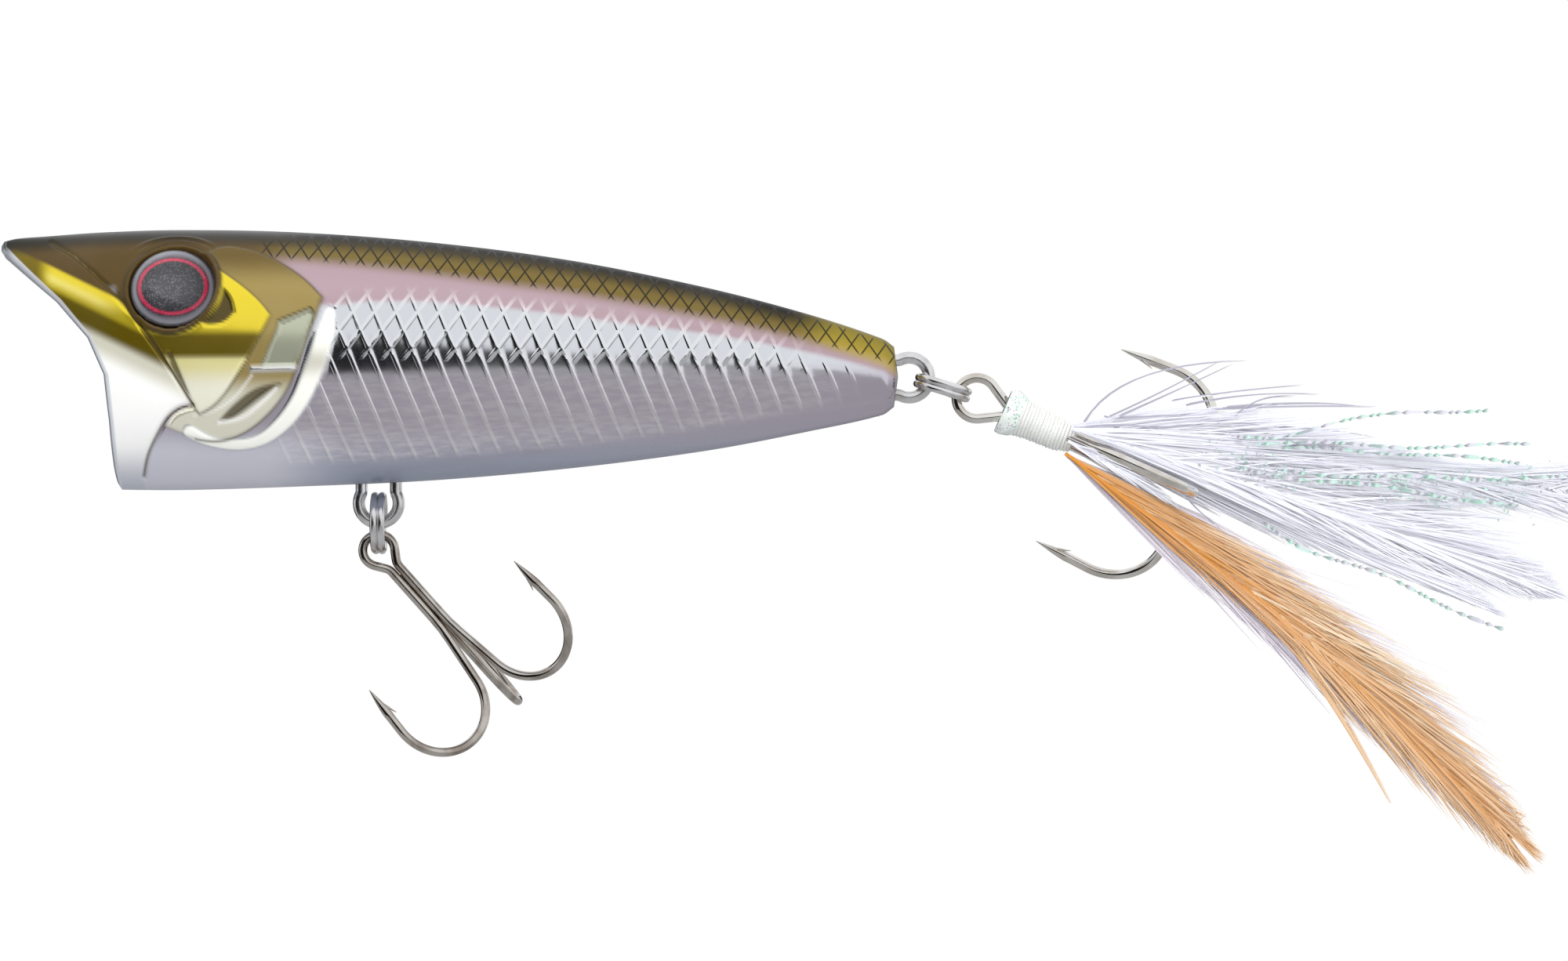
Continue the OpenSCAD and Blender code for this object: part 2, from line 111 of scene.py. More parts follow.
rise = addNode(
    tree, "ShaderNodeMapRange", {"interpolation_type": "SMOOTHSTEP"},
    {0: upperEdge, 1: studio["bandTop"] - 0.03, 2: studio["bandTop"] + 0.03},
).outputs[0]
drop = addNode(
    tree, "ShaderNodeMapRange", {"interpolation_type": "SMOOTHSTEP"},
    {0: lowerEdge, 1: studio["bandBottom"] - 0.02, 2: studio["bandBottom"] + 0.015},
).outputs[0]
band = addNode(tree, "ShaderNodeMath", {"operation": "MULTIPLY"}, {0: drop, 1: studio["band"]}).outputs[0]
belowBand = addNode(
    tree, "ShaderNodeMath", {"operation": "MULTIPLY_ADD"},
    {
        0: addNode(tree, "ShaderNodeMath", {"operation": "SUBTRACT"}, {0: 1.0, 1: drop}).outputs[0], 1: low,
        2: band,
    },
).outputs[0]
aboveBand = addNode(
    tree, "ShaderNodeMath", {"operation": "MULTIPLY"}, {0: rise, 1: studio["above"]}
).outputs[0]
keep = addNode(tree, "ShaderNodeMath", {"operation": "SUBTRACT"}, {0: 1.0, 1: rise}).outputs[0]
flagged = addNode(
    tree, "ShaderNodeMath", {"operation": "MULTIPLY_ADD"}, {0: belowBand, 1: keep, 2: aboveBand}
).outputs[0]
# The black flags stand at the two sides only: nose on and tail on, the chrome meets an open room.
beside = addNode(
    tree, "ShaderNodeMapRange", {"interpolation_type": "SMOOTHSTEP"},
    {
        0: addNode(tree, "ShaderNodeMath", {"operation": "ABSOLUTE"}, {0: split.outputs[1]}).outputs[0],
        1: 0.3, 2: 0.48,
    },
).outputs[0]
openRoom = addNode(
    tree, "ShaderNodeMapRange", {"interpolation_type": "SMOOTHSTEP"},
    {0: height, 1: -0.3, 2: 0.4, 3: studio["below"], 4: studio["above"]},
).outputs[0]
openLight = addNode(
    tree, "ShaderNodeMath", {"operation": "MULTIPLY"},
    {
        0: addNode(tree, "ShaderNodeMath", {"operation": "SUBTRACT"}, {0: 1.0, 1: beside}).outputs[0],
        1: openRoom,
    },
).outputs[0]
light = addNode(
    tree, "ShaderNodeMath", {"operation": "MULTIPLY_ADD"}, {0: flagged, 1: beside, 2: openLight}
).outputs[0]
path = addNode(tree, "ShaderNodeLightPath")
seen = addNode(tree, "ShaderNodeBackground", {}, {0: (1, 1, 1, 1), 1: 1.0})
lit = addNode(tree, "ShaderNodeBackground", {}, {0: (0.97, 0.985, 1, 1), 1: light})
mixed = addNode(
    tree, "ShaderNodeMixShader", {},
    {0: path.outputs["Is Camera Ray"], 1: lit.outputs[0], 2: seen.outputs[0]},
)
output = addNode(tree, "ShaderNodeOutputWorld", {}, {0: mixed.outputs[0]})

for name, place, aim, size, power in (
    ("keyLight", (0.02, -0.25, 0.32), (0.04, 0, 0), (0.3, 0.16), 0.8),
    ("fillLight", (0.05, -0.6, 0.05), (0.05, 0, 0), (0.5, 0.4), 1.75),
    ("backLight", (0.05, 0.6, 0.12), (0.05, 0, 0), (0.5, 0.4), 1.5),
):
    lamp = bpy.data.objects.new(name, bpy.data.lights.new(name, "AREA"))
    bpy.context.scene.collection.objects.link(lamp)
    lamp.data.shape = "RECTANGLE"
    lamp.data.size, lamp.data.size_y = size
    lamp.data.energy = power
    lamp.visible_glossy = False  # softboxes behind flags: they lift the paint and feathers, not the chrome
    lamp.location = place
    lamp.rotation_euler = (Vector(aim) - Vector(place)).to_track_quat("-Z", "Y").to_euler()
print("camera, world and lights")


def meshObject(name, points, faces, material):
    mesh = bpy.data.meshes.new(name)
    mesh.from_pydata([tuple(p) for p in points], [], faces)
    mesh.update()
    mesh.polygons.foreach_set("use_smooth", [True] * len(mesh.polygons))
    piece = bpy.data.objects.new(name, mesh)
    bpy.context.scene.collection.objects.link(piece)
    mesh.materials.append(material)
    return piece


def storeValues(piece, name, values, kind="FLOAT", field="value"):  # one value for each point
    stored = piece.data.attributes.new(name, kind, "POINT")
    stored.data.foreach_set(field, np.asarray(values, np.float32).reshape(-1))


def gridFaces(rows, columns, closed):
    faces = []
    for i in range(rows - 1):
        for j in range(columns if closed else columns - 1):
            k = (j + 1) % columns
            a, b = i * columns, (i + 1) * columns
            faces.append((a + j, a + k, b + k, b + j))
    return faces


# Body: one fine skin over both half shells, with the moulded head and the mouth cup.
body = {
    "columns": 440,
    "halfAround": 180,
    "power": 2.2,
    "rimWall": 0.8,
    "grooveDepth": 0.2,
    "plateHeight": 0.28,
    "gillHeight": 0.34,
    "panelDepth": 0.22,
    "socketDepth": 1.8,
    "scalePitch": 1.86,
    "scaleHeight": 0.05,
    "scaleWidth": 0.2,
}
bodyKeys = np.array([
    [-13.7, 11.15, -10.4, 1.0], [-12.6, 11.4, -10.5, 2.8], [-10.0, 11.6, -10.6, 4.6],
    [-5.0, 11.95, -10.65, 6.6],
    [2.0, 12.15, -10.7, 8.1], [12.0, 11.95, -10.4, 8.4], [24.0, 11.05, -9.85, 8.0], [36.0, 9.5, -8.8, 6.8],
    [48.0, 7.1, -7.25, 5.1], [57.0, 4.75, -5.55, 3.7], [63.5, 2.6, -4.1, 2.6], [64.5, 1.9, -3.4, 2.0],
])
noseEnd, tailEnd = bodyKeys[0, 0], bodyKeys[-1, 0]
rimKeys = np.array([
    [-12.0, -3.2], [-9.0, -3.4], [-4.8, -3.6], [-0.7, -4.0], [2.6, -5.45], [5.9, -8.35], [8.4, -11.2],
    [10.9, -14.0]
])
# Lines and outlines on the head, seen from the side: x, z in mm.
headLines = {
    "jaw": [
        (-9.31, 10.99), (-7.24, 9.89), (-4.94, 7.93), (-3.1, 6.21), (-1.72, 4.6), (-0.34, 2.76),
        (1.49, 0.23), (2.64, -1.61), (3.68, -3.33),
    ],
    "chin": [(3.68, -3.33), (2.41, -3.56), (1.26, -4.48), (0.11, -6.44), (-0.57, -7.82), (-1.03, -9.54)],
    "plate": [
        (-1.2, 4.3), (0.11, 2.3), (1.95, -0.46), (3.68, -3.33), (4.25, -4.02), (5.4, -3.45), (6.55, -2.3),
        (7.59, -0.69), (8.51, 0.69), (9.31, 2.07), (10.46, 4.37), (9.54, 5.52), (7.93, 6.9), (5.63, 8.39),
        (1.7, 7.2),
    ],
    "gill": [
        (5.63, 10.6), (7.93, 10.34), (10.0, 9.65), (11.84, 8.62), (13.45, 7.47), (14.87, 5.98),
        (14.37, 4.37), (13.45, 2.07), (12.76, -0.23), (11.61, -2.53), (9.77, -4.6), (7.7, -5.98),
        (5.63, -6.44), (3.33, -6.09), (1.26, -5.17), (1.9, -4.0), (3.68, -3.33), (2.0, 3.0), (3.0, 9.0),
    ],
    "panel": [
        (11.03, 3.91), (13.91, 5.06), (14.2, 4.6), (13.45, 2.07), (12.53, -0.11), (9.54, -0.11),
        (10.23, 1.61), (11.03, 3.45),
    ],
    "bar": [(8.85, -0.23), (12.53, -0.11)],
    "crescent": [
        (15.5, 4.6), (15.17, 2.99), (14.6, 0.92), (13.9, -0.92), (12.99, -2.99), (11.38, -5.06),
        (9.54, -6.44), (7.24, -6.85), (4.94, -6.44), (3.33, -5.63),
    ],
    "recess": [
        (6.21, 6.78), (7.13, 5.75), (7.36, 4.6), (6.55, 3.68), (5.17, 3.45), (4.25, 3.68), (5.4, 4.6),
        (6.09, 5.75),
    ],
    "slit": [(1.31, 1.2), (1.95, 1.25), (2.76, -0.6), (3.62, -2.7), (2.87, -1.84), (1.95, -0.23)],
    # glint and inner: traces of painted highlight on the gill cover
    "glint": [(5.86, -4.71), (7.93, -4.48), (9.77, -2.99), (10.92, -1.84)],
    "inner": [(3.79, -4.14), (5.63, -3.79), (7.47, -2.53), (8.85, -0.69)],
    "lens": [(9.08, -1.61), (11.84, -1.15), (9.77, -2.53), (7.01, -4.6), (5.4, -4.94), (7.0, -3.2)],
}


def along(x, column):  # the cubic through the keys, as in the CAD
    keys = bodyKeys
    i = np.clip(np.searchsorted(keys[:, 0], x, side="right") - 1, 0, len(keys) - 2)
    last = len(keys) - 1

    def slope(n):
        a, b = np.maximum(n - 1, 0), np.minimum(n + 1, last)
        return (keys[b, column] - keys[a, column]) / (keys[b, 0] - keys[a, 0])

    h = keys[i + 1, 0] - keys[i, 0]
    t = (x - keys[i, 0]) / h
    a, b = slope(i) * h, slope(i + 1) * h
    value = (2 * t**3 - 3 * t**2 + 1) * keys[i, column] + (t**3 - 2 * t**2 + t) * a
    return value + (3 * t**2 - 2 * t**3) * keys[i + 1, column] + (t**3 - t**2) * b


def smooth(value, low, high):
    t = np.clip((value - low) / (high - low), 0, 1)
    return t * t * (3 - 2 * t)


def lineDistance(x, z, points, closed=False):
    points = list(points) + ([points[0]] if closed else [])
    best = np.full(x.shape, 99.0)
    inside = np.zeros(x.shape, bool)
    for (ax, az), (bx, bz) in zip(points[:-1], points[1:]):
        dx, dz = bx - ax, bz - az
        t = np.clip(((x - ax) * dx + (z - az) * dz) / (dx * dx + dz * dz + 1e-12), 0, 1)
        best = np.minimum(best, np.hypot(x - ax - t * dx, z - az - t * dz))
        crosses = (az > z) != (bz > z)
        inside ^= crosses & (x < dx * (z - az) / (dz if abs(dz) > 1e-9 else 1e-9) + ax)
    return np.where(inside, -best, best) if closed else best


def rounded(points, closed):  # cuts the corners of an outline, except the sharp ones
    for passes in range(3):
        count = len(points)
        out = []
        for k, p in enumerate(points):
            if not closed and k in (0, count - 1):
                out.append(p)
                continue
            a, b = np.array(points[k - 1]), np.array(points[(k + 1) % count])
            p = np.array(p)
            cosine = np.dot(p - a, b - p) / (np.linalg.norm(p - a) * np.linalg.norm(b - p))
            if cosine < 0.72:
                out.append(tuple(p))
            else:
                out += [tuple(0.25 * a + 0.75 * p), tuple(0.75 * p + 0.25 * b)]
        points = out
    return points


def section(x, angle, inset=0.0):
    top, bottom = along(x, 1) - inset, along(x, 2) + inset
    half = np.maximum(along(x, 3) - inset, 0.1)
    c, s = np.cos(angle), np.sin(angle)
    y = half * np.sign(c) * np.abs(c) ** (2 / body["power"])
    z = (top + bottom) / 2 + (top - bottom) / 2 * np.sign(s) * np.abs(s) ** (2 / body["power"])
    return y, z


half = body["halfAround"]  # right half first, then left, meeting on the parting plane
angles = np.radians(np.concatenate([np.linspace(-90, 90, half), np.linspace(90, 270, half)]))
startX = np.full(2 * half, -5.0)
for step in range(60):
    rimZ = section(startX, angles)[1]
    startX = 0.5 * startX + 0.5 * np.clip(np.interp(rimZ, rimKeys[:, 0], rimKeys[:, 1]), noseEnd, 0)
share = np.linspace(0, 1, body["columns"])[:, None]
skinX = startX + (tailEnd - startX) * share * (0.5 + 0.5 * share)
skinAngle = np.broadcast_to(angles, skinX.shape)
skinY, skinZ = section(skinX, skinAngle)
eyeX, eyeZ, eyeTilt = 1.8, 7.0, math.radians(24)


def sideAt(x, z):
    top, bottom = along(np.array([x]), 1)[0], along(np.array([x]), 2)[0]
    level = abs(z - (top + bottom) / 2) / ((top - bottom) / 2)
    return along(np.array([x]), 3)[0] * (1 - level ** body["power"]) ** (1 / body["power"])


eyeY = sideAt(eyeX, eyeZ)
toEye = np.stack([skinX - eyeX, np.abs(skinY) - eyeY, skinZ - eyeZ], -1)
eyeWay = np.array([0, math.cos(eyeTilt), math.sin(eyeTilt)])
reach = toEye @ eyeWay
eyeDistance = np.where(reach > -4, np.linalg.norm(toEye - reach[..., None] * eyeWay, axis=-1), 50)
eyeAngle = np.degrees(np.arctan2(skinZ - eyeZ, skinX - eyeX))

top, bottom = along(skinX, 1), along(skinX, 2)
mid = (top + bottom) / 2
depth = top - skinZ

# Relief of the head and the scale edges, in mm outwards.
far = {}
for name, points in headLines.items():
    closed = name not in ("jaw", "chin", "bar", "crescent", "glint", "inner")
    far[name] = lineDistance(skinX, skinZ, rounded(points, closed), closed)
relief = -body["grooveDepth"] * np.exp(-((far["jaw"] / 0.2) ** 2))
relief -= body["grooveDepth"] * np.exp(-((far["chin"] / 0.22) ** 2))
relief += body["plateHeight"] * smooth(-far["plate"], -0.12, 0.22)
relief += body["gillHeight"] * np.maximum(smooth(-far["gill"], -0.1, 0.3), smooth(-far["plate"], -0.1, 0.3))
relief -= body["panelDepth"] * smooth(-far["panel"], -0.05, 0.25)
relief -= 0.26 * smooth(-far["recess"], -0.1, 0.3)
relief -= 0.16 * smooth(-far["lens"], -0.1, 0.35)
relief -= 0.16 * smooth(-far["slit"], -0.05, 0.15)
relief += 0.2 * np.exp(-((far["bar"] / 0.2) ** 2))
crescentWidth = np.interp(skinZ, [-7.2, -5, 0, 3, 4.6], [0.42, 0.68, 0.86, 0.82, 0.45])
relief += 0.2 * smooth(crescentWidth + 0.1 - far["crescent"], 0, 0.3)
relief += 0.3 * np.exp(-(((eyeDistance - 4.05) / 0.28) ** 2))
brow = smooth(eyeAngle, 35, 70) * (1 - smooth(eyeAngle, 120, 150))
relief += brow * (
    0.22 * np.exp(-(((eyeDistance - 4.75) / 0.2) ** 2))
    + 0.16 * np.exp(-(((eyeDistance - 5.4) / 0.18) ** 2))
)
relief -= body["socketDepth"] * smooth(3.8 - eyeDistance, 0, 0.16)
ribZone = smooth(skinX, 13, 16) * (1 - smooth(skinX, 55, 61)) * smooth(far["crescent"], 1.0, 1.6)
ribZone *= smooth(skinZ - bottom, 1.7, 2.7) * smooth(depth, 4.5, 5.5)
for lean, tall in ((0.42, 1), (-0.75, smooth(skinZ - mid, 0.3, 1.3))):
    fromRib = body["scalePitch"] * np.abs(((skinX + lean * skinZ) / body["scalePitch"]) % 1 - 0.5)
    relief += body["scaleHeight"] * tall * ribZone * np.exp(-((fromRib / body["scaleWidth"]) ** 2))
relief *= smooth(share * (tailEnd - startX), 0.15, 0.7)

outY = np.cos(skinAngle) * (top - bottom) / 2
outZ = np.sin(skinAngle) * along(skinX, 3)
outSize = np.hypot(outY, outZ)
skinYR = skinY + relief * outY / outSize
skinZR = skinZ + relief * outZ / outSize
outerRows = np.stack([skinX, skinYR, skinZR], -1)

# Rim and cup: from the outer edge round to the inner edge, then down the bowl.
innerY, innerZ = section(startX, angles, body["rimWall"])
middleY = (outerRows[0, :, 1] + innerY) / 2
middleZ = (outerRows[0, :, 2] + innerZ) / 2
cup = {"rows": 44, "centre": -8, "deep": 11.6, "halfWide": 6.8, "halfTall": 11.4, "lift": 0.2}
cupRows = []
for part in np.linspace(0, 1, cup["rows"]) ** 1.3:
    y = innerY * (1 - part)
    z = innerZ * (1 - part) + cup["lift"] * part
    level = 1 - (y / cup["halfWide"]) ** 2 - ((z - cup["lift"]) / cup["halfTall"]) ** 2
    bowl = cup["centre"] + cup["deep"] * np.sqrt(np.maximum(level, 0.0))
    blend = smooth(np.array([part]), 0.0, 0.4)[0]
    x = np.maximum(startX * (1 - blend) + bowl * blend, startX)
    cupRows.append(np.stack([x, y, z], -1))
cupRows = cupRows[::-1]
lip = np.stack([startX - 0.25, middleY, middleZ], -1)
tailRows = []
for k in (1, 2, 3):  # the blunt tail closes in three steps
    narrow = 1 - 0.33 * k
    tailX = np.full(len(angles), tailEnd + 0.12 * k)
    tailRows.append(np.stack([tailX, skinY[-1] * narrow, (skinZ[-1] + 0.75) * narrow - 0.75], -1))
rows = np.concatenate([np.array(cupRows), lip[None], outerRows, np.array(tailRows)])
rowCount = len(rows)
cupCount = len(cupRows) + 1
outer = slice(cupCount, cupCount + body["columns"])

# Paint, as colour, metal and roughness at each point of the skin.
paints = {
    "foil": linear("E4E7EC"),
    "black": linear("0C0B08"),
    "olive": linear("746228"),
    "oliveDark": linear("221E14"),
    "gold": linear("F0D835"),
    "goldDark": linear("7C6A14"),
    "cream": linear("F3F0DC"),
    "paleGold": linear("F6EA8C"),
    "pearl": linear("FFFFF6"),
    "pink": linear("AB9098"),
    "headOlive": linear("584522"),
    "gillOlive": linear("9C884E"),
    "white": linear("F4F3F1"),
    "panel": linear("BCC0A8"),
    "brown": linear("57481F"),
    "belly": linear("A9AFC0"),
    "throat": linear("D6D6E0"),
    "violet": linear("D2C9D6"),
    "rim": linear("C9CCD4"),
    "tailYellow": linear("C9B23A"),
}
colour = np.broadcast_to(np.array(paints["foil"][:3]), skinX.shape + (3,)).copy()
metal = np.full(skinX.shape, 1.0)
rough = np.full(skinX.shape, 0.09)


def coat(mask, name, metalTo, roughTo):
    colour[:] = colour * (1 - mask[..., None]) + np.array(paints[name][:3]) * mask[..., None]
    metal[:] = metal * (1 - mask) + metalTo * mask
    rough[:] = rough * (1 - mask) + roughTo * mask


whiteEdge = np.interp(
    skinX, [12, 15.9, 18.4, 23.7, 33.2, 39.5, 45.2, 57, 64.5], [6.6, 6.5, 6.0, 5.5, 5.2, 5.0, 4.5, 3.5, 2.9]
)
netEdge = np.interp(skinX, [5, 12, 30, 44, 57, 64.5], [2.3, 2.6, 3.1, 2.9, 2.5, 2.0])
coat(smooth(-skinZ, -1.0, 1.5), "violet", 1.0, 0.1)
coat(smooth(-skinZ - mid, 4.0, 9.0), "belly", 0.5, 0.34)
coat(smooth(-skinZ - mid, 3.5, 7.0) * smooth(-skinX, -18, -9), "throat", 0.35, 0.3)
coat(0.95 * smooth(whiteEdge - depth, -0.25, 0.35) * smooth(skinX, 8, 10), "pink", 0.35, 0.28)
coat(0.97 * smooth(netEdge - depth, -0.7, 0.7), "olive", 0.35, 0.34)
coat(0.92 * smooth(1.3 - depth, -0.7, 0.9), "oliveDark", 0.7, 0.36)
coat(0.85 * smooth(0.45 - depth, -0.3, 0.3), "black", 0.9, 0.36)
tail = smooth(skinX, 55, 60) * smooth(2.6 - depth, -0.4, 0.6)
coat(0.5 * tail, "tailYellow", 0.6, 0.25)

# Head: gold cheek, cream jaw, olive crown, gill cover and its panel.
jawX = np.interp(skinZ, [p[1] for p in headLines["jaw"]][::-1], [p[0] for p in headLines["jaw"]][::-1])
before = 1 - smooth(skinX - jawX, -0.05, 0.1)
chinX = np.interp(skinZ, [p[1] for p in headLines["chin"]][::-1], [p[0] for p in headLines["chin"]][::-1])
beforeChin = np.where(skinZ < -3.33, 1 - smooth(skinX - chinX, -0.1, 0.15), before)
gillZone = smooth(-far["gill"], -0.05, 0.12)
plateZone = smooth(-far["plate"], -0.05, 0.12) * (1 - before)
brightTop = 9.2 - 0.473 * (skinX + 10)  # the gold on the jaw runs down beside the rim
brightLow = 7.0 - 0.474 * (skinX + 9.5)
coat(
    smooth(14.5 - skinX, -2.5, 1.5) * smooth(5.2 - depth, -0.5, 0.5) * (1 - smooth(skinX, 7, 13)),
    "headOlive", 0.3, 0.28,
)
coat(smooth(5.4 - eyeDistance, 0, 0.6) * (1 - before) * (1 - plateZone), "headOlive", 0.3, 0.28)
coat(gillZone, "gillOlive", 0.4, 0.2)
coat(0.8 * smooth(skinZ, 6.6, 9.6) * gillZone, "headOlive", 0.35, 0.26)
coat(gillZone * smooth(-skinZ, 0.4, 3.0), "cream", 0.6, 0.14)
coat(beforeChin, "white", 0.0, 0.2)
coat(0.7 * beforeChin * smooth(-skinZ, 6.5, 10.5), "belly", 0.3, 0.2)
coat(before * smooth(skinZ - brightLow + 3.3, -1.2, 0.8), "cream", 0.4, 0.2)
# painted shade: a darker gold band below the bright gold on the jaw
coat(before * smooth(skinZ - brightLow + 1.9, -0.5, 0.6), "goldDark", 0.6, 0.2)
coat(before * smooth(skinZ - brightLow, -0.3, 0.4) * smooth(skinX, -10.6, -8.8), "gold", 0.7, 0.16)
# painted highlight: a pale yellow streak along the middle of the bright gold band
coat(
    0.6 * before * np.exp(
        -(((skinZ - brightLow - 0.9) / 0.5) ** 2)
    ) * smooth(-skinX, 2, 5) * smooth(skinX, -10, -9),
    "paleGold", 0.5, 0.16,
)
coat(before * smooth(skinZ - brightTop, -0.2, 0.25), "headOlive", 0.35, 0.26)
coat(plateZone, "cream", 0.35, 0.22)
coat(0.7 * plateZone * smooth(skinZ, -1.8, 0.4), "paleGold", 0.5, 0.2)
coat(plateZone * smooth(skinZ, 0.5, 1.1), "goldDark", 0.6, 0.18)
coat(plateZone * smooth(skinZ, 2.5, 3.3), "gold", 0.7, 0.15)
coat(smooth(-far["recess"], -0.05, 0.2), "brown", 0.75, 0.2)
coat(smooth(-far["panel"], -0.05, 0.12), "panel", 0.6, 0.16)
coat(0.7 * np.exp(-((far["panel"] / 0.1) ** 2)), "brown", 0.4, 0.2)
coat(0.85 * smooth(-far["lens"], -0.05, 0.3), "brown", 0.7, 0.15)
# painted highlights: white lines along the glint and inner traces on the gill cover
coat(0.9 * np.exp(-((far["glint"] / 0.16) ** 2)), "white", 0.2, 0.1)
coat(0.6 * np.exp(-((far["inner"] / 0.12) ** 2)), "white", 0.2, 0.1)
crescent = smooth(crescentWidth - far["crescent"], -0.08, 0.08)
coat(crescent, "pearl", 0.2, 0.2)
# painted shadow: a grey-gold patch across the middle of the crescent
coat(0.35 * crescent * np.exp(-(((skinZ - 0.4) / 1.1) ** 2)), "goldDark", 0.5, 0.2)
coat(
    0.6 * np.exp(-(((far["crescent"] - crescentWidth) / 0.09) ** 2)) * smooth(-skinZ, -4.4, -3), "rim", 0.5,
    0.2,
)
coat(0.75 * smooth(-far["slit"], -0.05, 0.1), "brown", 0.6, 0.15)
coat(np.exp(-((far["bar"] / 0.25) ** 2)), "white", 1.0, 0.08)
coat(smooth(1.2 - depth, -0.7, 0.7) * smooth(16 - skinX, 0, 8), "oliveDark", 0.3, 0.26)
coat(0.8 * smooth(0.25 - depth, -0.3, 0.3) * smooth(16 - skinX, 0, 4), "black", 0.1, 0.3)
for name in ("jaw", "chin"):
    coat(0.75 * np.exp(-((far[name] / 0.13) ** 2)), "brown", 0.6, 0.25)
coat(
    0.7 * np.exp(-((far["gill"] / 0.13) ** 2)) * smooth(far["plate"], 0.0, 0.2) * (1 - before), "brown",
    0.4, 0.25,
)
coat(0.6 * np.exp(-((far["plate"] / 0.12) ** 2)), "brown", 0.4, 0.25)
coat(smooth(4.3 - eyeDistance, -0.1, 0.1), "headOlive", 0.4, 0.18)
coat(0.8 * np.exp(-(((eyeDistance - 4.3) / 0.09) ** 2)), "oliveDark", 0.4, 0.25)
edge = share * (tailEnd - startX)
coat(0.85 * smooth(0.45 - edge, -0.12, 0.12), "rim", 0.1, 0.12)
coat(smooth(0.6 - (skinX + 13.9), -0.6, 0.6), "black", 0.1, 0.2)

rowColour = np.empty(rows.shape)
rowMetal = np.full(rows.shape[:2], 0.3)
rowRough = np.full(rows.shape[:2], 0.18)
rowColour[:] = np.array(linear("D9DCE0")[:3])
rowColour[outer] = colour
rowMetal[outer] = metal
rowRough[outer] = rough
rowColour[outer.stop :] = colour[-1]
rowMetal[outer.stop :] = metal[-1]
rowColour[len(cupRows)] = np.array(paints["rim"][:3])

# Painted foil under clear plastic: mirror foil shows the studio as bands, the coat adds a wet gloss.
skinMaterial, tree, surface = newMaterial("foiledPolycarbonateGloss")
paintNode = addNode(tree, "ShaderNodeAttribute", {"attribute_name": "paint"})
metalNode = addNode(tree, "ShaderNodeAttribute", {"attribute_name": "metal"})
roughNode = addNode(tree, "ShaderNodeAttribute", {"attribute_name": "rough"})
coords = addNode(tree, "ShaderNodeTexCoord")
split = addNode(tree, "ShaderNodeSeparateXYZ", {}, {0: coords.outputs["Object"]})
xs, zs = split.outputs[0], split.outputs[2]


def stripes(tree, slope, pitch, width):  # thin lines leaning by slope, mm
    lean = addNode(
        tree, "ShaderNodeMath", {"operation": "MULTIPLY_ADD"}, {0: zs, 1: slope, 2: xs}
    ).outputs[0]
    turn = addNode(
        tree, "ShaderNodeMath", {"operation": "MULTIPLY"}, {0: lean, 1: 1 / (pitch * mm)}
    ).outputs[0]
    near = addNode(
        tree, "ShaderNodeMath", {"operation": "ABSOLUTE"},
        {
            0: addNode(
                tree, "ShaderNodeMath", {"operation": "SUBTRACT"},
                {0: addNode(tree, "ShaderNodeMath", {"operation": "FRACT"}, {0: turn}).outputs[0], 1: 0.5},
            ).outputs[0]
        },
    ).outputs[0]
    return addNode(
        tree, "ShaderNodeMapRange", {"interpolation_type": "SMOOTHSTEP"},
        {0: near, 1: width / pitch, 2: 0.35 * width / pitch},
    ).outputs[0]


zoneNet = addNode(tree, "ShaderNodeAttribute", {"attribute_name": "netZone"}).outputs["Fac"]
zoneUpper = addNode(tree, "ShaderNodeAttribute", {"attribute_name": "upperZone"}).outputs["Fac"]
zoneLower = addNode(tree, "ShaderNodeAttribute", {"attribute_name": "lowerZone"}).outputs["Fac"]
netLines = addNode(
    tree, "ShaderNodeMath", {"operation": "MAXIMUM"},
    {0: stripes(tree, 0.72, 1.5, 0.13), 1: stripes(tree, -0.72, 1.5, 0.13)},
).outputs[0]
netMask = addNode(
    tree, "ShaderNodeMath", {"operation": "MULTIPLY"},
    {
        0: addNode(tree, "ShaderNodeMath", {"operation": "MULTIPLY"}, {0: netLines, 1: zoneNet}).outputs[0],
        1: 0.9,
    },
).outputs[0]
ridgeUp = addNode(
    tree, "ShaderNodeMath", {"operation": "MULTIPLY"},
    {0: stripes(tree, -0.75, body["scalePitch"], 0.34), 1: zoneUpper},
).outputs[0]
ridgeDown = addNode(
    tree, "ShaderNodeMath", {"operation": "MULTIPLY"},
    {
        0: stripes(tree, 0.42, body["scalePitch"], 0.27),
        1: addNode(
            tree, "ShaderNodeMath", {"operation": "MAXIMUM"}, {0: zoneUpper, 1: zoneLower}
        ).outputs[0],
    },
).outputs[0]
ridges = addNode(tree, "ShaderNodeMath", {"operation": "MAXIMUM"}, {0: ridgeUp, 1: ridgeDown}).outputs[0]
fleck = addNode(
    tree, "ShaderNodeTexNoise", {},
    {"Vector": coords.outputs["Object"], "Scale": 1 / (0.7143 * mm), "Detail": 2.0},
).outputs[0]
cloud = addNode(
    tree, "ShaderNodeTexNoise", {},
    {"Vector": coords.outputs["Object"], "Scale": 1 / (7.692 * mm), "Detail": 3.0},
).outputs[0]
toned = addNode(
    tree, "ShaderNodeMix", {"data_type": "RGBA"},
    {
        0: addNode(
            tree, "ShaderNodeMapRange", {"interpolation_type": "SMOOTHSTEP"},
            {0: cloud, 1: 0.35, 2: 0.75, 3: 0.0, 4: 0.04},
        ).outputs[0],
        6: paintNode.outputs["Color"], 7: (0.5, 0.47, 0.4, 1),
    },
).outputs[2]
stretched = addNode(
    tree, "ShaderNodeVectorMath", {"operation": "MULTIPLY"},
    {0: coords.outputs["Object"], 1: (0.22, 1.0, 1.0)},
).outputs[0]
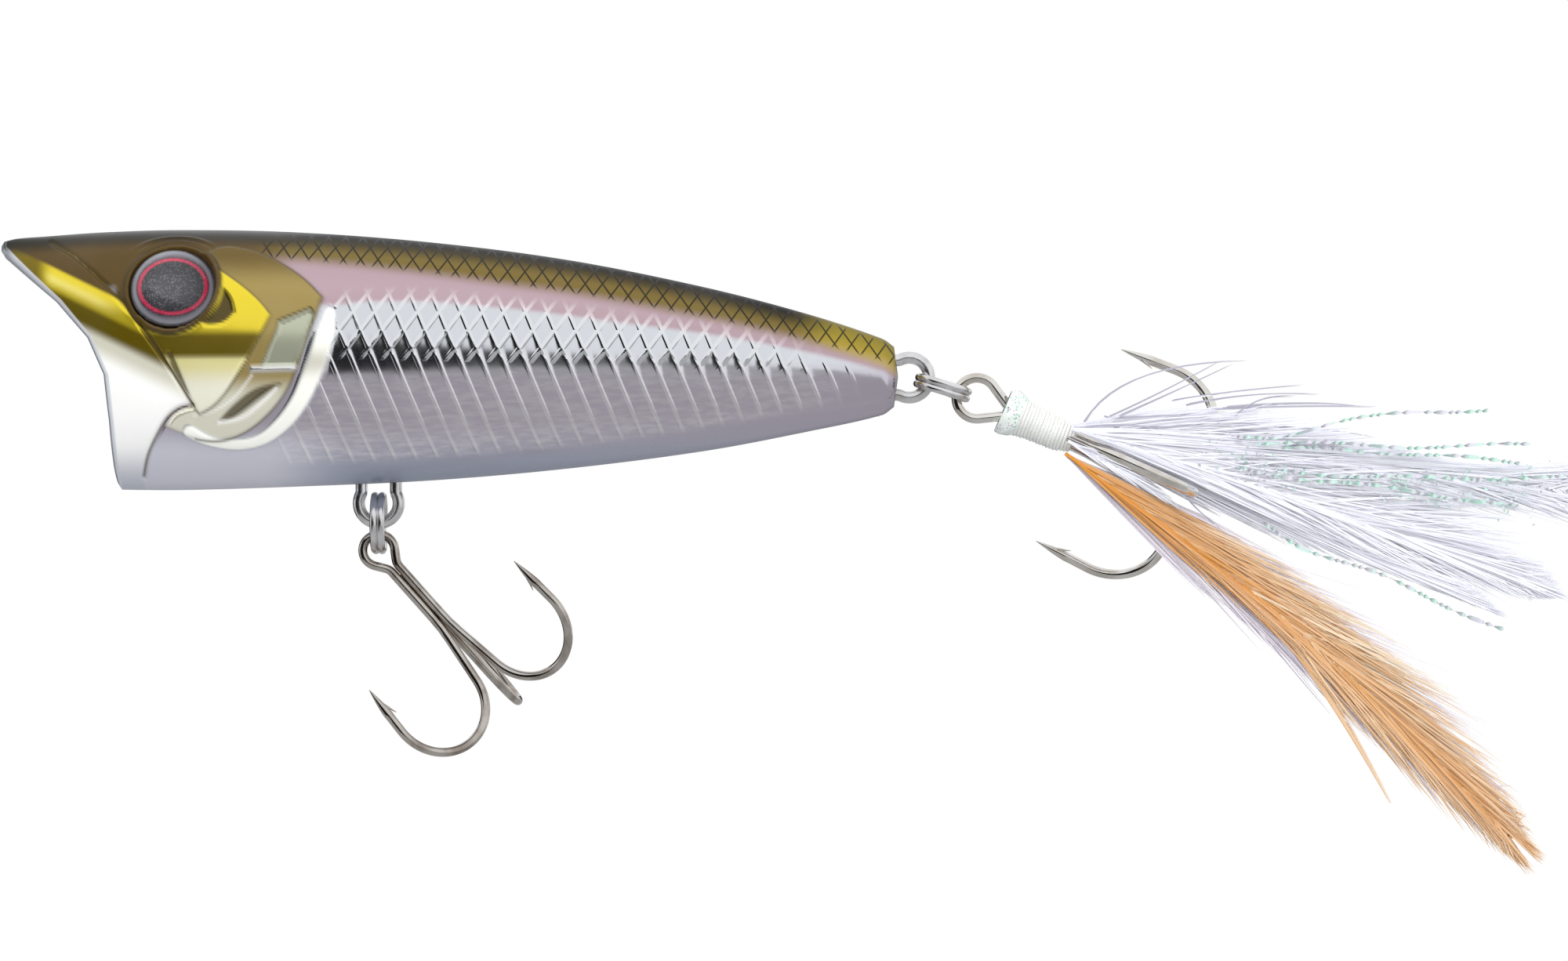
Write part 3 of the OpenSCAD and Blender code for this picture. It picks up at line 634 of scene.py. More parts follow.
# painted reflection: pale horizontal streaks lighten the lower flank colour
reflectionStreaks = addNode(
    tree, "ShaderNodeMath", {"operation": "MULTIPLY"},
    {
        0: addNode(
            tree, "ShaderNodeMapRange", {"interpolation_type": "SMOOTHSTEP"},
            {
                0: addNode(
                    tree, "ShaderNodeTexNoise", {},
                    {"Vector": stretched, "Scale": 1 / (0.3846 * mm), "Detail": 2.0},
                ).outputs[0],
                1: 0.35, 2: 0.7, 3: 0.1, 4: 0.5,
            },
        ).outputs[0],
        1: zoneLower,
    },
).outputs[0]
reflectionStreaked = addNode(
    tree, "ShaderNodeMix", {"data_type": "RGBA"}, {0: reflectionStreaks, 6: toned, 7: linear("F3EDF2")}
).outputs[2]
lined = addNode(
    tree, "ShaderNodeMix", {"data_type": "RGBA"}, {0: netMask, 6: reflectionStreaked, 7: linear("0F0C07")}
).outputs[2]
# painted highlight: the scale ridges are lightened towards white, as well as bumped
ridgeHighlighted = addNode(
    tree, "ShaderNodeMix", {"data_type": "RGBA"},
    {
        0: addNode(tree, "ShaderNodeMath", {"operation": "MULTIPLY"}, {0: ridges, 1: 0.4}).outputs[0],
        6: lined, 7: linear("FFFFFF"),
    },
).outputs[2]
waviness = addNode(
    tree, "ShaderNodeTexNoise", {},
    {"Vector": coords.outputs["Object"], "Scale": 1 / (3.333 * mm), "Detail": 1.0},
).outputs[0]
heightSum = addNode(
    tree, "ShaderNodeMath", {"operation": "MULTIPLY_ADD"},
    {
        0: ridges, 1: 0.08 * mm,
        2: addNode(
            tree, "ShaderNodeMath", {"operation": "MULTIPLY"}, {0: waviness, 1: 0.02 * mm}
        ).outputs[0],
    },
).outputs[0]
bump = addNode(tree, "ShaderNodeBump", {}, {"Strength": 0.8, "Distance": 1.0, "Height": heightSum})
metalKeep = addNode(
    tree, "ShaderNodeMath", {"operation": "MULTIPLY"},
    {
        0: metalNode.outputs["Fac"],
        1: addNode(tree, "ShaderNodeMath", {"operation": "SUBTRACT"}, {0: 1.0, 1: netMask}).outputs[0],
    },
).outputs[0]
roughSum = addNode(
    tree, "ShaderNodeMath", {"operation": "MULTIPLY_ADD"}, {0: fleck, 1: 0.06, 2: roughNode.outputs["Fac"]}
).outputs[0]
for socket, value in {
    "Base Color": ridgeHighlighted, "Metallic": metalKeep, "Roughness": roughSum, "Normal": bump.outputs[0]
}.items():
    tree.links.new(value, surface.inputs[socket])
surface.inputs["Specular IOR Level"].default_value = 0.3
surface.inputs["Specular Tint"].default_value = (0.6, 0.6, 0.62, 1)
surface.inputs["Coat Weight"].default_value = 0.12
surface.inputs["Coat Roughness"].default_value = 0.08
surface.inputs["Coat IOR"].default_value = 1.58

skinValues = {"paint": rowColour, "metal": rowMetal, "rough": rowRough}
behindGill = smooth(far["crescent"], 0.55, 0.8) * smooth(far["gill"], 0.6, 1.0)
behind = behindGill * smooth(skinX, 6, 9)
zones = {
    "netZone": smooth(skinX, 8.5, 10) * smooth(netEdge - depth, -0.15, 0.3),
    "upperZone": behind * smooth(skinX, 14, 16) * smooth(depth - whiteEdge, -1.6, 0.2),
    "lowerZone": behind * smooth(skinX, 9, 14) * smooth(skinZ - bottom, 1.6, 2.6),
}
zones["netZone"] *= (1 - smooth(0.25 - depth, -0.2, 0.2)) * (1 - gillZone)
zones["upperZone"] *= smooth(skinZ - mid, -0.2, 1.2) * (1 - smooth(skinX, 50, 60))
zones["lowerZone"] *= (1 - smooth(skinZ - mid, 0.2, 1.4)) * (1 - smooth(skinX, 56, 63))
for name, values in zones.items():
    full = np.zeros(rows.shape[:2])
    full[outer] = values
    skinValues[name] = full
for side, first, node in (("right", 0, "right_shell"), ("left", half, "left_shell")):
    points = rows[:, first : first + half].reshape(-1, 3) * mm
    skin = meshObject(side + "ShellSkin", points, gridFaces(rowCount, half, False), skinMaterial)
    for name, values in skinValues.items():
        values = values[:, first : first + half]
        if name == "paint":
            values = np.concatenate([values, np.ones(values.shape[:2] + (1,))], -1)
        kind, field = ("FLOAT_COLOR", "color") if name == "paint" else ("FLOAT", "value")
        storeValues(skin, name, values, kind, field)
    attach(skin, "lure_body")
    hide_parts(node)
print("body")


# Metals, plated and drawn; wear and drawn are the sizes of their marks in mm.
def metalMaterial(name, settings):
    material, tree, surface = newMaterial(name)
    place = addNode(tree, "ShaderNodeTexCoord").outputs["Object"]
    wear = addNode(
        tree, "ShaderNodeTexNoise", {},
        {"Vector": place, "Scale": 1 / (settings["wear"] * mm), "Detail": 4.0},
    ).outputs[0]
    drawn = addNode(
        tree, "ShaderNodeTexNoise", {},
        {"Vector": place, "Scale": 1 / (settings["drawn"] * mm), "Detail": 2.0},
    ).outputs[0]
    tone = addNode(
        tree, "ShaderNodeMix", {"data_type": "RGBA"},
        {
            0: addNode(
                tree, "ShaderNodeMapRange", {"interpolation_type": "SMOOTHSTEP"}, {0: wear, 1: 0.4, 2: 0.7}
            ).outputs[0],
            6: linear(settings["colour"]), 7: linear(settings["worn"]),
        },
    ).outputs[2]
    roughness = addNode(
        tree, "ShaderNodeMath", {"operation": "MULTIPLY_ADD"},
        {0: drawn, 1: settings["roughSpread"], 2: settings["roughness"]},
    ).outputs[0]
    marks = addNode(tree, "ShaderNodeBump", {}, {"Strength": 0.12, "Distance": 0.02 * mm, "Height": drawn})
    tree.links.new(tone, surface.inputs["Base Color"])
    tree.links.new(roughness, surface.inputs["Roughness"])
    tree.links.new(marks.outputs[0], surface.inputs["Normal"])
    surface.inputs["Metallic"].default_value = 1.0
    return material


# Black nickel over polished high-carbon steel: warm dark mirror, a little brown where it thins.
blackNickel = metalMaterial(
    "polishedBlackNickel",
    {
        "colour": "D0C9C1", "worn": "9C9086", "wear": 2.381, "drawn": 0.3846, "roughness": 0.07,
        "roughSpread": 0.1,
    },
)
# Bright nickel plate: pale mirror that picks up the dark surroundings as thin lines.
brightNickel = metalMaterial(
    "polishedBrightNickel",
    {
        "colour": "F0ECE6", "worn": "D5CDC3", "wear": 2.381, "drawn": 0.3846, "roughness": 0.06,
        "roughSpread": 0.08,
    },
)
# Drawn stainless spring wire: satin, with soft highlights.
springWire = metalMaterial(
    "satinStainlessWire",
    {
        "colour": "EEEDEE", "worn": "CFCBC8", "wear": 2, "drawn": 0.2941, "roughness": 0.14,
        "roughSpread": 0.14,
    },
)
# Turned brass: warm yellow with fine rings from the lathe.
turnedBrass = metalMaterial(
    "turnedBrass",
    {
        "colour": "C9A55A", "worn": "8F7136", "wear": 3.333, "drawn": 0.5556, "roughness": 0.25,
        "roughSpread": 0.15,
    },
)
# Ground ball steel: a small, even mirror.
ballSteel = metalMaterial(
    "polishedBallSteel",
    {"colour": "B9BABD", "worn": "9FA0A4", "wear": 2, "drawn": 0.4, "roughness": 0.08, "roughSpread": 0.08},
)
# Hot-stamped foil: a flat bright mirror under the shell.
mirrorFoil = metalMaterial(
    "hotStampedMirrorFoil",
    {
        "colour": "E8EAED", "worn": "D2D6DB", "wear": 5, "drawn": 0.6667, "roughness": 0.06,
        "roughSpread": 0.06,
    },
)
tubeStyrene, tree, surface = newMaterial("mouldedStyrene")  # milky plastic with faint flow marks
place = addNode(tree, "ShaderNodeTexCoord").outputs["Object"]
flow = addNode(
    tree, "ShaderNodeTexNoise", {}, {"Vector": place, "Scale": 1 / (3.846 * mm), "Detail": 3.0}
).outputs[0]
tree.links.new(
    addNode(
        tree, "ShaderNodeMix", {"data_type": "RGBA"}, {0: flow, 6: linear("EDECE6"), 7: linear("DDDCD2")}
    ).outputs[2],
    surface.inputs["Base Color"],
)
tree.links.new(
    addNode(tree, "ShaderNodeMath", {"operation": "MULTIPLY_ADD"}, {0: flow, 1: 0.2, 2: 0.35}).outputs[0],
    surface.inputs["Roughness"],
)
for node, material in {
    "left_foil": mirrorFoil, "right_foil": mirrorFoil, "tail_weight": turnedBrass, "rattle_ball": ballSteel,
    "rattle_tube": tubeStyrene, "rattle_cap": tubeStyrene, "line_tie": springWire,
}.items():
    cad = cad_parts[node]
    cad.data.materials.clear()
    cad.data.materials.append(material)
    cad.data.polygons.foreach_set("use_smooth", [True] * len(cad.data.polygons))
    cad.data.update()


# A swept wire: frames are (place, x way, y way, way along, radius).
def arcFrames(first, radius, degrees, step=5.0):
    place, across, side, ahead, thick = first
    way = 1 if degrees > 0 else -1
    count = max(2, int(abs(degrees) / step))
    out = []
    for k in range(1, count + 1):
        turn = math.radians(abs(degrees)) * k / count
        c, s = math.cos(turn), math.sin(turn)
        out.append(
            (
                place + radius * (way * (1 - c) * across + s * ahead), c * across - way * s * ahead, side,
                c * ahead + way * s * across, thick,
            )
        )
    return out


def lineFrames(first, length, endThick=None, count=6):
    place, across, side, ahead, thick = first
    endThick = thick if endThick is None else endThick
    return [
        (place + ahead * length * k / count, across, side, ahead, thick + (endThick - thick) * k / count)
        for k in range(1, count + 1)
    ]


def rollFrame(first, degrees):
    place, across, side, ahead, thick = first
    c, s = math.cos(math.radians(degrees)), math.sin(math.radians(degrees))
    return (place, c * across + s * side, c * side - s * across, ahead, thick)


def sweep(frames, sides=20):  # points and faces of a round wire, with its ends closed
    points = []
    previous = None
    for place, across, side, ahead, thick in frames:
        if previous is None:
            base = Vector(across)
        else:
            base = (previous - Vector(ahead) * previous.dot(Vector(ahead))).normalized()
        previous = base
        other = Vector(ahead).cross(base)
        for k in range(sides):
            turn = 2 * math.pi * k / sides
            points.append(Vector(place) + thick * (math.cos(turn) * base + math.sin(turn) * other))
    faces = gridFaces(len(frames), sides, True)
    last = (len(frames) - 1) * sides
    faces.append(tuple(range(sides - 1, -1, -1)))
    faces.append(tuple(last + k for k in range(sides)))
    return points, faces


def joinSweeps(name, parts, material):
    points, faces = [], []
    for partPoints, partFaces in parts:
        shift = len(points)
        points += partPoints
        faces += [tuple(shift + v for v in face) for face in partFaces]
    return meshObject(name, [p * mm for p in points], faces, material)


def flipped(v):
    return Vector((-v[0], v[1], v[2]))


def mirrored(frames):  # the other half of a wire that is the same both ways from x = 0
    return [
        (flipped(place), flipped(across), flipped(side), -flipped(ahead), thick)
        for place, across, side, ahead, thick in frames[::-1]
    ]


def placed(parts, turn, shift, mirrorY=False):
    out = []
    for points, faces in parts:
        moved = []
        for p in points:
            q = Vector((p[0], -p[1], p[2])) if mirrorY else Vector(p)
            c, s = math.cos(turn), math.sin(turn)
            moved.append(Vector((q[0] * c + q[2] * s, q[1], -q[0] * s + q[2] * c)) + shift)
        out.append((moved, [face[::-1] for face in faces] if mirrorY else faces))
    return out


def vec(*values):
    return Vector(values)


# Wire hangers: a loop with flared legs that end inside the body.
hanger = {
    "wire": 1.06, "loop": 1.75, "flare": 25, "neck": 0.8, "foot": 0.9, "belly": (19.2, -11.85, 1.5),
    "tail": (65.84, -0.81, 1.2),
}


def hangerSweep(leg):
    first = (vec(0, 0, -hanger["loop"]), vec(0, 0, -1), vec(0, 1, 0), vec(1, 0, 0), hanger["wire"] / 2)
    frames = [first] + arcFrames(first, hanger["loop"], -90 - hanger["flare"])
    frames += arcFrames(frames[-1], hanger["neck"], hanger["flare"])
    frames += lineFrames(frames[-1], leg, count=2)
    frames += arcFrames(frames[-1], hanger["foot"], 90)
    frames += lineFrames(frames[-1], 1.0, count=2)
    return sweep(mirrored(frames)[:-1] + frames)


bellyLoop = joinSweeps(
    "bellyHangerWire",
    placed([hangerSweep(hanger["belly"][2])], 0, vec(hanger["belly"][0], 0, hanger["belly"][1])),
    springWire,
)
tailLoop = joinSweeps(
    "tailHangerWire",
    placed([hangerSweep(hanger["tail"][2])], -math.pi / 2, vec(hanger["tail"][0], 0, hanger["tail"][1])),
    springWire,
)
for piece, node in ((bellyLoop, "belly_hanger"), (tailLoop, "tail_hanger")):
    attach(piece, "lure_body")
    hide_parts(node)

# Split rings: two turns of one wire, each end cut square and lying against the other turn.
rings = {
    "coil": 0.34, "offset": 0.31, "bellyRadius": 2.4, "tailRadius": 2.25, "belly": (19.2, -13.6),
    "tail": (68.776, -1.708), "tailDroop": 17,
}


def ringSweep(radius, start):
    frames = []
    for k in range(145):
        turn = start + math.radians(5 * k) * 0.985
        share = k / 144
        offset = -rings["offset"] + 2 * rings["offset"] * float(smooth(np.array([share]), 0.38, 0.62)[0])
        ahead = vec(-math.sin(turn), math.cos(turn), 0)
        frames.append(
            (
                vec(radius * math.cos(turn), radius * math.sin(turn), offset),
                vec(math.cos(turn), math.sin(turn), 0), vec(0, 0, 1), ahead, rings["coil"],
            )
        )
    return sweep(frames, 16)


bellyRing = joinSweeps(
    "bellySplitRingCoil",
    placed(
        [ringSweep(rings["bellyRadius"], 0.9)], math.pi / 2, vec(rings["belly"][0], 0, rings["belly"][1])
    ),
    springWire,
)
tailRing = joinSweeps(
    "tailSplitRingCoil",
    placed(
        [ringSweep(rings["tailRadius"], 2.2)], math.radians(rings["tailDroop"]),
        vec(rings["tail"][0], 0, rings["tail"][1]),
    ),
    springWire,
)
for piece, node, bodyName in (
    (bellyRing, "belly_split_ring", "belly_ring"), (tailRing, "tail_split_ring", "tail_ring")
):
    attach(piece, bodyName)
    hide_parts(node)
print("hangers and split rings")

# Treble hooks: one wire makes two hooks and the eye, and the third hook is brazed between them.
bellyTreble = {
    "wire": 0.4, "eye": 1.4, "taper": 34, "taperBend": 1.2, "shank": 5.5, "bend": 4.4, "straight": 1.6,
    "point": 3.0,
}
tailTreble = {
    "wire": 0.43, "eye": 1.8, "taper": 30, "taperBend": 1.5, "shank": 6.5, "bend": 4.9, "straight": 1.8,
    "point": 3.3,
}
treble = {"gap": 0.03, "flare": 9, "flareRadius": 14, "flareLength": 4.4, "lean": 4, "spread": 30}


def hookEnd(frames, t):  # flare, bend, and a point ground to a needle
    frames += arcFrames(frames[-1], treble["flareRadius"], treble["flare"])
    frames += lineFrames(frames[-1], treble["flareLength"], count=4)
    frames += arcFrames(frames[-1], t["bend"], 180 + treble["lean"] - treble["flare"], 3.0)
    frames += lineFrames(frames[-1], t["straight"], count=3)
    needle = frames[-1]
    for k in range(1, 13):
        share = k / 12
        thick = t["wire"] * (1 - share**1.5) + 0.025
        frames.append((needle[0] + needle[3] * t["point"] * share, needle[1], needle[2], needle[3], thick))
    return needle


def barbSweep(needle, t):  # a sliver cut up from the inner side, pointing back down the bend
    place = needle[0] + needle[3] * (0.42 * t["point"]) + needle[1] * (t["wire"] * 0.45)
    ahead = (-needle[3] * 0.92 + needle[1] * 0.42).normalized()
    first = (place, needle[1], needle[2], ahead, t["wire"] * 0.42)
    frames = [first] + lineFrames(first, 1.35, 0.03, 6)
    return sweep(frames, 10)


def pairOffset(t):
    return t["wire"] + treble["gap"] / 2


def eyeSide(t):
    turn = math.radians(t["taper"])
    return (
        t["eye"] * math.cos(turn) - t["taperBend"] * (1 - math.cos(turn)) - pairOffset(t)
    ) / math.sin(turn)


def pairSweeps(t):
    first = (vec(0, 0, t["eye"]), vec(0, 0, -1), vec(0, 1, 0), vec(1, 0, 0), t["wire"])
    frames = [first] + arcFrames(first, t["eye"], 90 + t["taper"])
    frames += lineFrames(frames[-1], eyeSide(t), count=3)
    frames += arcFrames(frames[-1], t["taperBend"], -t["taper"])
    frames += lineFrames(frames[-1], t["shank"], count=4)
    frames[-1] = rollFrame(frames[-1], 180 + treble["spread"])
    needle = hookEnd(frames, t)
    points, faces = sweep(mirrored(frames)[:-1] + frames)
    barb, barbFaces = barbSweep(needle, t)
    otherBarb = [vec(-p[0], p[1], p[2]) for p in barb]
    return [(points, faces), (barb, barbFaces), (otherBarb, [face[::-1] for face in barbFaces])]


def singleSweeps(t):
    turn = math.radians(t["taper"])
    top = (t["eye"] + t["taperBend"]) * math.sin(turn) + eyeSide(t) * math.cos(turn) + 0.6
    first = (
        vec(0, math.sqrt(3) * pairOffset(t) + treble["gap"] / 2, -top), vec(0, 1, 0), vec(1, 0, 0),
        vec(0, 0, -1), t["wire"],
    )
    frames = [first] + lineFrames(first, t["shank"] - 0.6, count=4)
    needle = hookEnd(frames, t)
    return [sweep(frames), barbSweep(needle, t)]


bellyEye = vec(19.2, 0, -16.0)
tailEye = vec(71.788216, 0, -2.628552)
bellyTurn, tailTurn = math.radians(-41.7), math.radians(-66)
for name, node, bodyName, parts, material, finish in (
    (
        "bellyTreblePair", "belly_hook_pair", "belly_hook",
        placed(pairSweeps(bellyTreble), bellyTurn, bellyEye), blackNickel, "dark_nickel",
    ),
    (
        "bellyTrebleThird", "belly_hook_single", "belly_hook",
        placed(singleSweeps(bellyTreble), bellyTurn, bellyEye), blackNickel, "dark_nickel",
    ),
    (
        "tailTreblePair", "tail_hook_pair", "tail_hook",
        placed(pairSweeps(tailTreble), tailTurn, tailEye, True), brightNickel, "bright_nickel",
    ),
    (
        "tailTrebleThird", "tail_hook_single", "tail_hook",
        placed(singleSweeps(tailTreble), tailTurn, tailEye, True), brightNickel, "bright_nickel",
    ),
):
    piece = joinSweeps(name, parts, material)
    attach(piece, bodyName)
    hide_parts(node)
print("treble hooks")

# Eyes: a metallic disc under a clear dome, in a moulded ring.
eye = {"diameter": 7.4, "dome": 5.45, "discDepth": 0.42, "oval": 0.87, "sides": 72}
iris = [  # radius in mm and colour, from the pupil out
    (0.0, "1A1B24"), (0.8, "1A1B24"), (1.6, "1A1B24"), (2.2, "1A1B24"), (2.52, "14141C"), (2.56, "8E1232"),
    (2.62, "C91845"), (2.78, "E0265A"), (2.95, "B01840"), (2.99, "3A3038"), (3.1, "9A9AA3"),
    (3.3, "A6A7AF"),
    (3.5, "5A5A60"), (3.69, "2C2C30"),
]
domeMaterial, tree, surface = newMaterial("castClearResin")  # wet, glass-clear dome with a faint cold tint
place = addNode(tree, "ShaderNodeTexCoord").outputs["Object"]
tree.links.new(
    addNode(
        tree, "ShaderNodeMath", {"operation": "MULTIPLY_ADD"},
        {
            0: addNode(
                tree, "ShaderNodeTexNoise", {}, {"Vector": place, "Scale": 1 / (2 * mm), "Detail": 3.0}
            ).outputs[0],
            1: 0.03, 2: 0.01,
        },
    ).outputs[0],
    surface.inputs["Roughness"],
)
surface.inputs["Base Color"].default_value = linear("F4F6F8")
surface.inputs["Transmission Weight"].default_value = 1.0
surface.inputs["IOR"].default_value = 1.46

irisMaterial, tree, surface = newMaterial("printedEyeFoil")  # crimson foil ring round a grey-black pupil
tone = addNode(tree, "ShaderNodeAttribute", {"attribute_name": "paint"})
place = addNode(tree, "ShaderNodeTexCoord").outputs["Object"]
sparkle = addNode(tree, "ShaderNodeTexVoronoi", {}, {"Vector": place, "Scale": 1 / (0.1923 * mm)})
brighter = addNode(
    tree, "ShaderNodeMix", {"data_type": "RGBA"},
    {
        0: addNode(
            tree, "ShaderNodeMapRange", {"interpolation_type": "SMOOTHSTEP"},
            {0: sparkle.outputs["Distance"], 1: 0.15, 2: 0.5, 3: 0.3, 4: 0.0},
        ).outputs[0],
        6: tone.outputs["Color"], 7: linear("F2D7DA"),
    },
).outputs[2]
tree.links.new(
    addNode(
        tree, "ShaderNodeMix", {"data_type": "RGBA"}, {0: 0.35, 6: tone.outputs["Color"], 7: brighter}
    ).outputs[2],
    surface.inputs["Base Color"],
)
tree.links.new(
    addNode(
        tree, "ShaderNodeMath", {"operation": "MULTIPLY_ADD"},
        {0: sparkle.outputs["Distance"], 1: 0.2, 2: 0.25},
    ).outputs[0],
    surface.inputs["Roughness"],
)
surface.inputs["Metallic"].default_value = 0.2


def lathe(profile):  # profile of (radius, height), about local Z
    sides = eye["sides"]
    points = [
        vec(r * math.cos(2 * math.pi * k / sides), r * math.sin(2 * math.pi * k / sides), z)
        for r, z in profile
        for k in range(sides)
    ]
    return points, gridFaces(len(profile), sides, True)


def atEye(points, way):  # local Z outward, zero on the body's side
    c, s = math.cos(eyeTilt), math.sin(eyeTilt)
    return [
        vec(eyeX + p[0], way * (eyeY + c * p[2] - s * p[1]), eyeZ + s * p[2] + c * p[1]) for p in points
    ]


for side, way in (("left", -1), ("right", 1)):
    points, faces = lathe([(r, -eye["discDepth"]) for r, tone in iris])
    # the ring is an oval
    points = [vec(p[0], p[1] * (eye["oval"] if p[0] ** 2 + p[1] ** 2 < 9.0 else 1.0), p[2]) for p in points]
    disc = meshObject(
        side + "EyeDisc", [p * mm for p in atEye(points, way)],
        faces if way < 0 else [f[::-1] for f in faces], irisMaterial,
    )
    shades = np.repeat(np.array([linear(tone) for r, tone in iris]), eye["sides"], axis=0)
    storeValues(disc, "paint", shades, "FLOAT_COLOR", "color")
    rim = eye["diameter"] / 2
    domeBase = 0.06 - eye["discDepth"]
    profile = [(rim - 0.03, domeBase)]
    start = math.asin((rim - 0.03) / eye["dome"])
    for k in range(25):
        turn = start * (1 - k / 24)
        rise = eye["dome"] * (math.cos(turn) - math.cos(start))
        profile.append((eye["dome"] * math.sin(turn) + 0.0005, domeBase + 0.04 + rise))
    points, faces = lathe(profile)
    dome = meshObject(
        side + "EyeDome", [p * mm for p in atEye(points, way)],
        faces if way < 0 else [f[::-1] for f in faces], domeMaterial,
    )
    for piece, node, finish in ((disc, "eye_disc", "red_foil"), (dome, "eye_lens", "clear_lens")):
        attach(piece, "lure_body")
        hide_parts(side + "_" + node)
print("eyes")

# Thread wrap on the tail treble: close turns of waxed thread over a core, under a bead of varnish.
droop = math.radians(24)
shankWay = vec(math.cos(droop), 0, -math.sin(droop))
shankUp = vec(math.sin(droop), 0, math.cos(droop))
acrossWay = vec(0, 1, 0)
wrap = {
    "start": 2.7, "length": 6.6, "thread": 0.17, "varnishLength": 1.7,
    "stations": [0, 0.5, 2.4, 5.2, 6.6], "radii": [1.72, 1.74, 1.42, 1.3, 0.85],  # along the wrap, mm
}


def around(turn):  # outwards from the shank
    return math.cos(turn) * acrossWay + math.sin(turn) * shankUp


def wrapRadius(u):
    return float(np.interp(u, wrap["stations"], wrap["radii"]))


threadMaterial, tree, surface = newMaterial("waxedCottonThread")  # off-white twisted fibres, waxy sheen
place = addNode(tree, "ShaderNodeTexCoord").outputs["Object"]
fibre = addNode(
    tree, "ShaderNodeTexNoise", {}, {"Vector": place, "Scale": 1 / (0.1923 * mm), "Detail": 4.0}
).outputs[0]
patch = addNode(
    tree, "ShaderNodeTexNoise", {}, {"Vector": place, "Scale": 1 / (1.429 * mm), "Detail": 2.0}
).outputs[0]
base = addNode(
    tree, "ShaderNodeMix", {"data_type": "RGBA"}, {0: fibre, 6: linear("D9DAD4"), 7: linear("F4F4F0")}
).outputs[2]
tree.links.new(
    addNode(
        tree, "ShaderNodeMix", {"data_type": "RGBA"},
        {
            0: addNode(
                tree, "ShaderNodeMapRange", {"interpolation_type": "SMOOTHSTEP"},
                {0: patch, 1: 0.5, 2: 0.75, 3: 0.0, 4: 0.35},
            ).outputs[0],
            6: base, 7: linear("C9CFC6"),
        },
    ).outputs[2],
    surface.inputs["Base Color"],
)
tree.links.new(
    addNode(
        tree, "ShaderNodeBump", {}, {"Strength": 0.5, "Distance": 0.03 * mm, "Height": fibre}
    ).outputs[0],
    surface.inputs["Normal"],
)
surface.inputs["Roughness"].default_value = 0.45
surface.inputs["Coat Weight"].default_value = 0.35
surface.inputs["Coat Roughness"].default_value = 0.15
surface.inputs["Sheen Weight"].default_value = 0.2

turns = wrap["length"] / (wrap["thread"] * 1.85)
frames = []
for k in range(int(turns * 28)):
    turn = 2 * math.pi * k / 28
    u = 0.1 + (wrap["length"] - 0.2) * k / (turns * 28)
    radius = wrapRadius(u) + 0.02 * math.sin(turn * 1.37)
    out = around(turn)
    ahead = (-math.sin(turn) * acrossWay + math.cos(turn) * shankUp) * radius + shankWay * 0.05
    frames.append(
        (
            tailEye + shankWay * (wrap["start"] + u) + out * radius, out, shankWay, ahead.normalized(),
            wrap["thread"],
        )
    )
coilPart = sweep(frames, 8)
corePoints = []
for k in range(25):
    u = wrap["length"] * k / 24
    for j in range(32):
        turn = 2 * math.pi * j / 32
        corePoints.append(tailEye + shankWay * (wrap["start"] + u) + around(turn) * (wrapRadius(u) - 0.04))
coreFaces = gridFaces(25, 32, True) + [tuple(range(32)), tuple(24 * 32 + j for j in range(31, -1, -1))]
threads = joinSweeps("threadWinding", [coilPart, (corePoints, coreFaces)], threadMaterial)

# clear lacquer with mint and pink glitter in it
varnish, tree, surface = newMaterial("pearlGlitterVarnish")
place = addNode(tree, "ShaderNodeTexCoord").outputs["Object"]
flakes = addNode(tree, "ShaderNodeTexVoronoi", {}, {"Vector": place, "Scale": 1 / (0.2778 * mm)})
tint = addNode(
    tree, "ShaderNodeMix", {"data_type": "RGBA"},
    {
        0: addNode(
            tree, "ShaderNodeMapRange", {"interpolation_type": "SMOOTHSTEP"},
            {0: flakes.outputs["Color"], 1: 0.3, 2: 0.8},
        ).outputs[0],
        6: linear("8FE3C0"), 7: linear("F3D3EE"),
    },
).outputs[2]
lit = addNode(
    tree, "ShaderNodeMapRange", {"interpolation_type": "SMOOTHSTEP"},
    {0: flakes.outputs["Distance"], 1: 0.42, 2: 0.2},
).outputs[0]
tree.links.new(
    addNode(
        tree, "ShaderNodeMix", {"data_type": "RGBA"}, {0: lit, 6: linear("E9EFEA"), 7: tint}
    ).outputs[2],
    surface.inputs["Base Color"],
)
tree.links.new(
    addNode(tree, "ShaderNodeMath", {"operation": "MULTIPLY"}, {0: lit, 1: 0.5}).outputs[0],
    surface.inputs["Metallic"],
)
surface.inputs["Roughness"].default_value = 0.14
surface.inputs["Coat Weight"].default_value = 1.0
points = []
for k in range(22):
    share = k / 21
    u = wrap["varnishLength"] * share
    bulge = 0.2 + 0.16 * math.sin(math.pi * min(share * 1.1, 1))
    for j in range(40):
        turn = 2 * math.pi * j / 40
        lump = 0.06 * math.sin(3 * turn + 4 * share) + 0.04 * math.sin(7 * turn + 9 * share)
        radius = wrapRadius(u) + bulge * (1 if share < 0.93 else 0.4) + lump
        points.append(tailEye + shankWay * (wrap["start"] - 0.15 + u) + around(turn) * radius)
faces = gridFaces(22, 40, True) + [tuple(range(40)), tuple(21 * 40 + j for j in range(39, -1, -1))]
bead = joinSweeps("varnishBead", [(points, faces)], varnish)
for piece in (threads, bead):
    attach(piece, "tail_hook")
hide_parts("thread_wrap")
print("thread wrap")


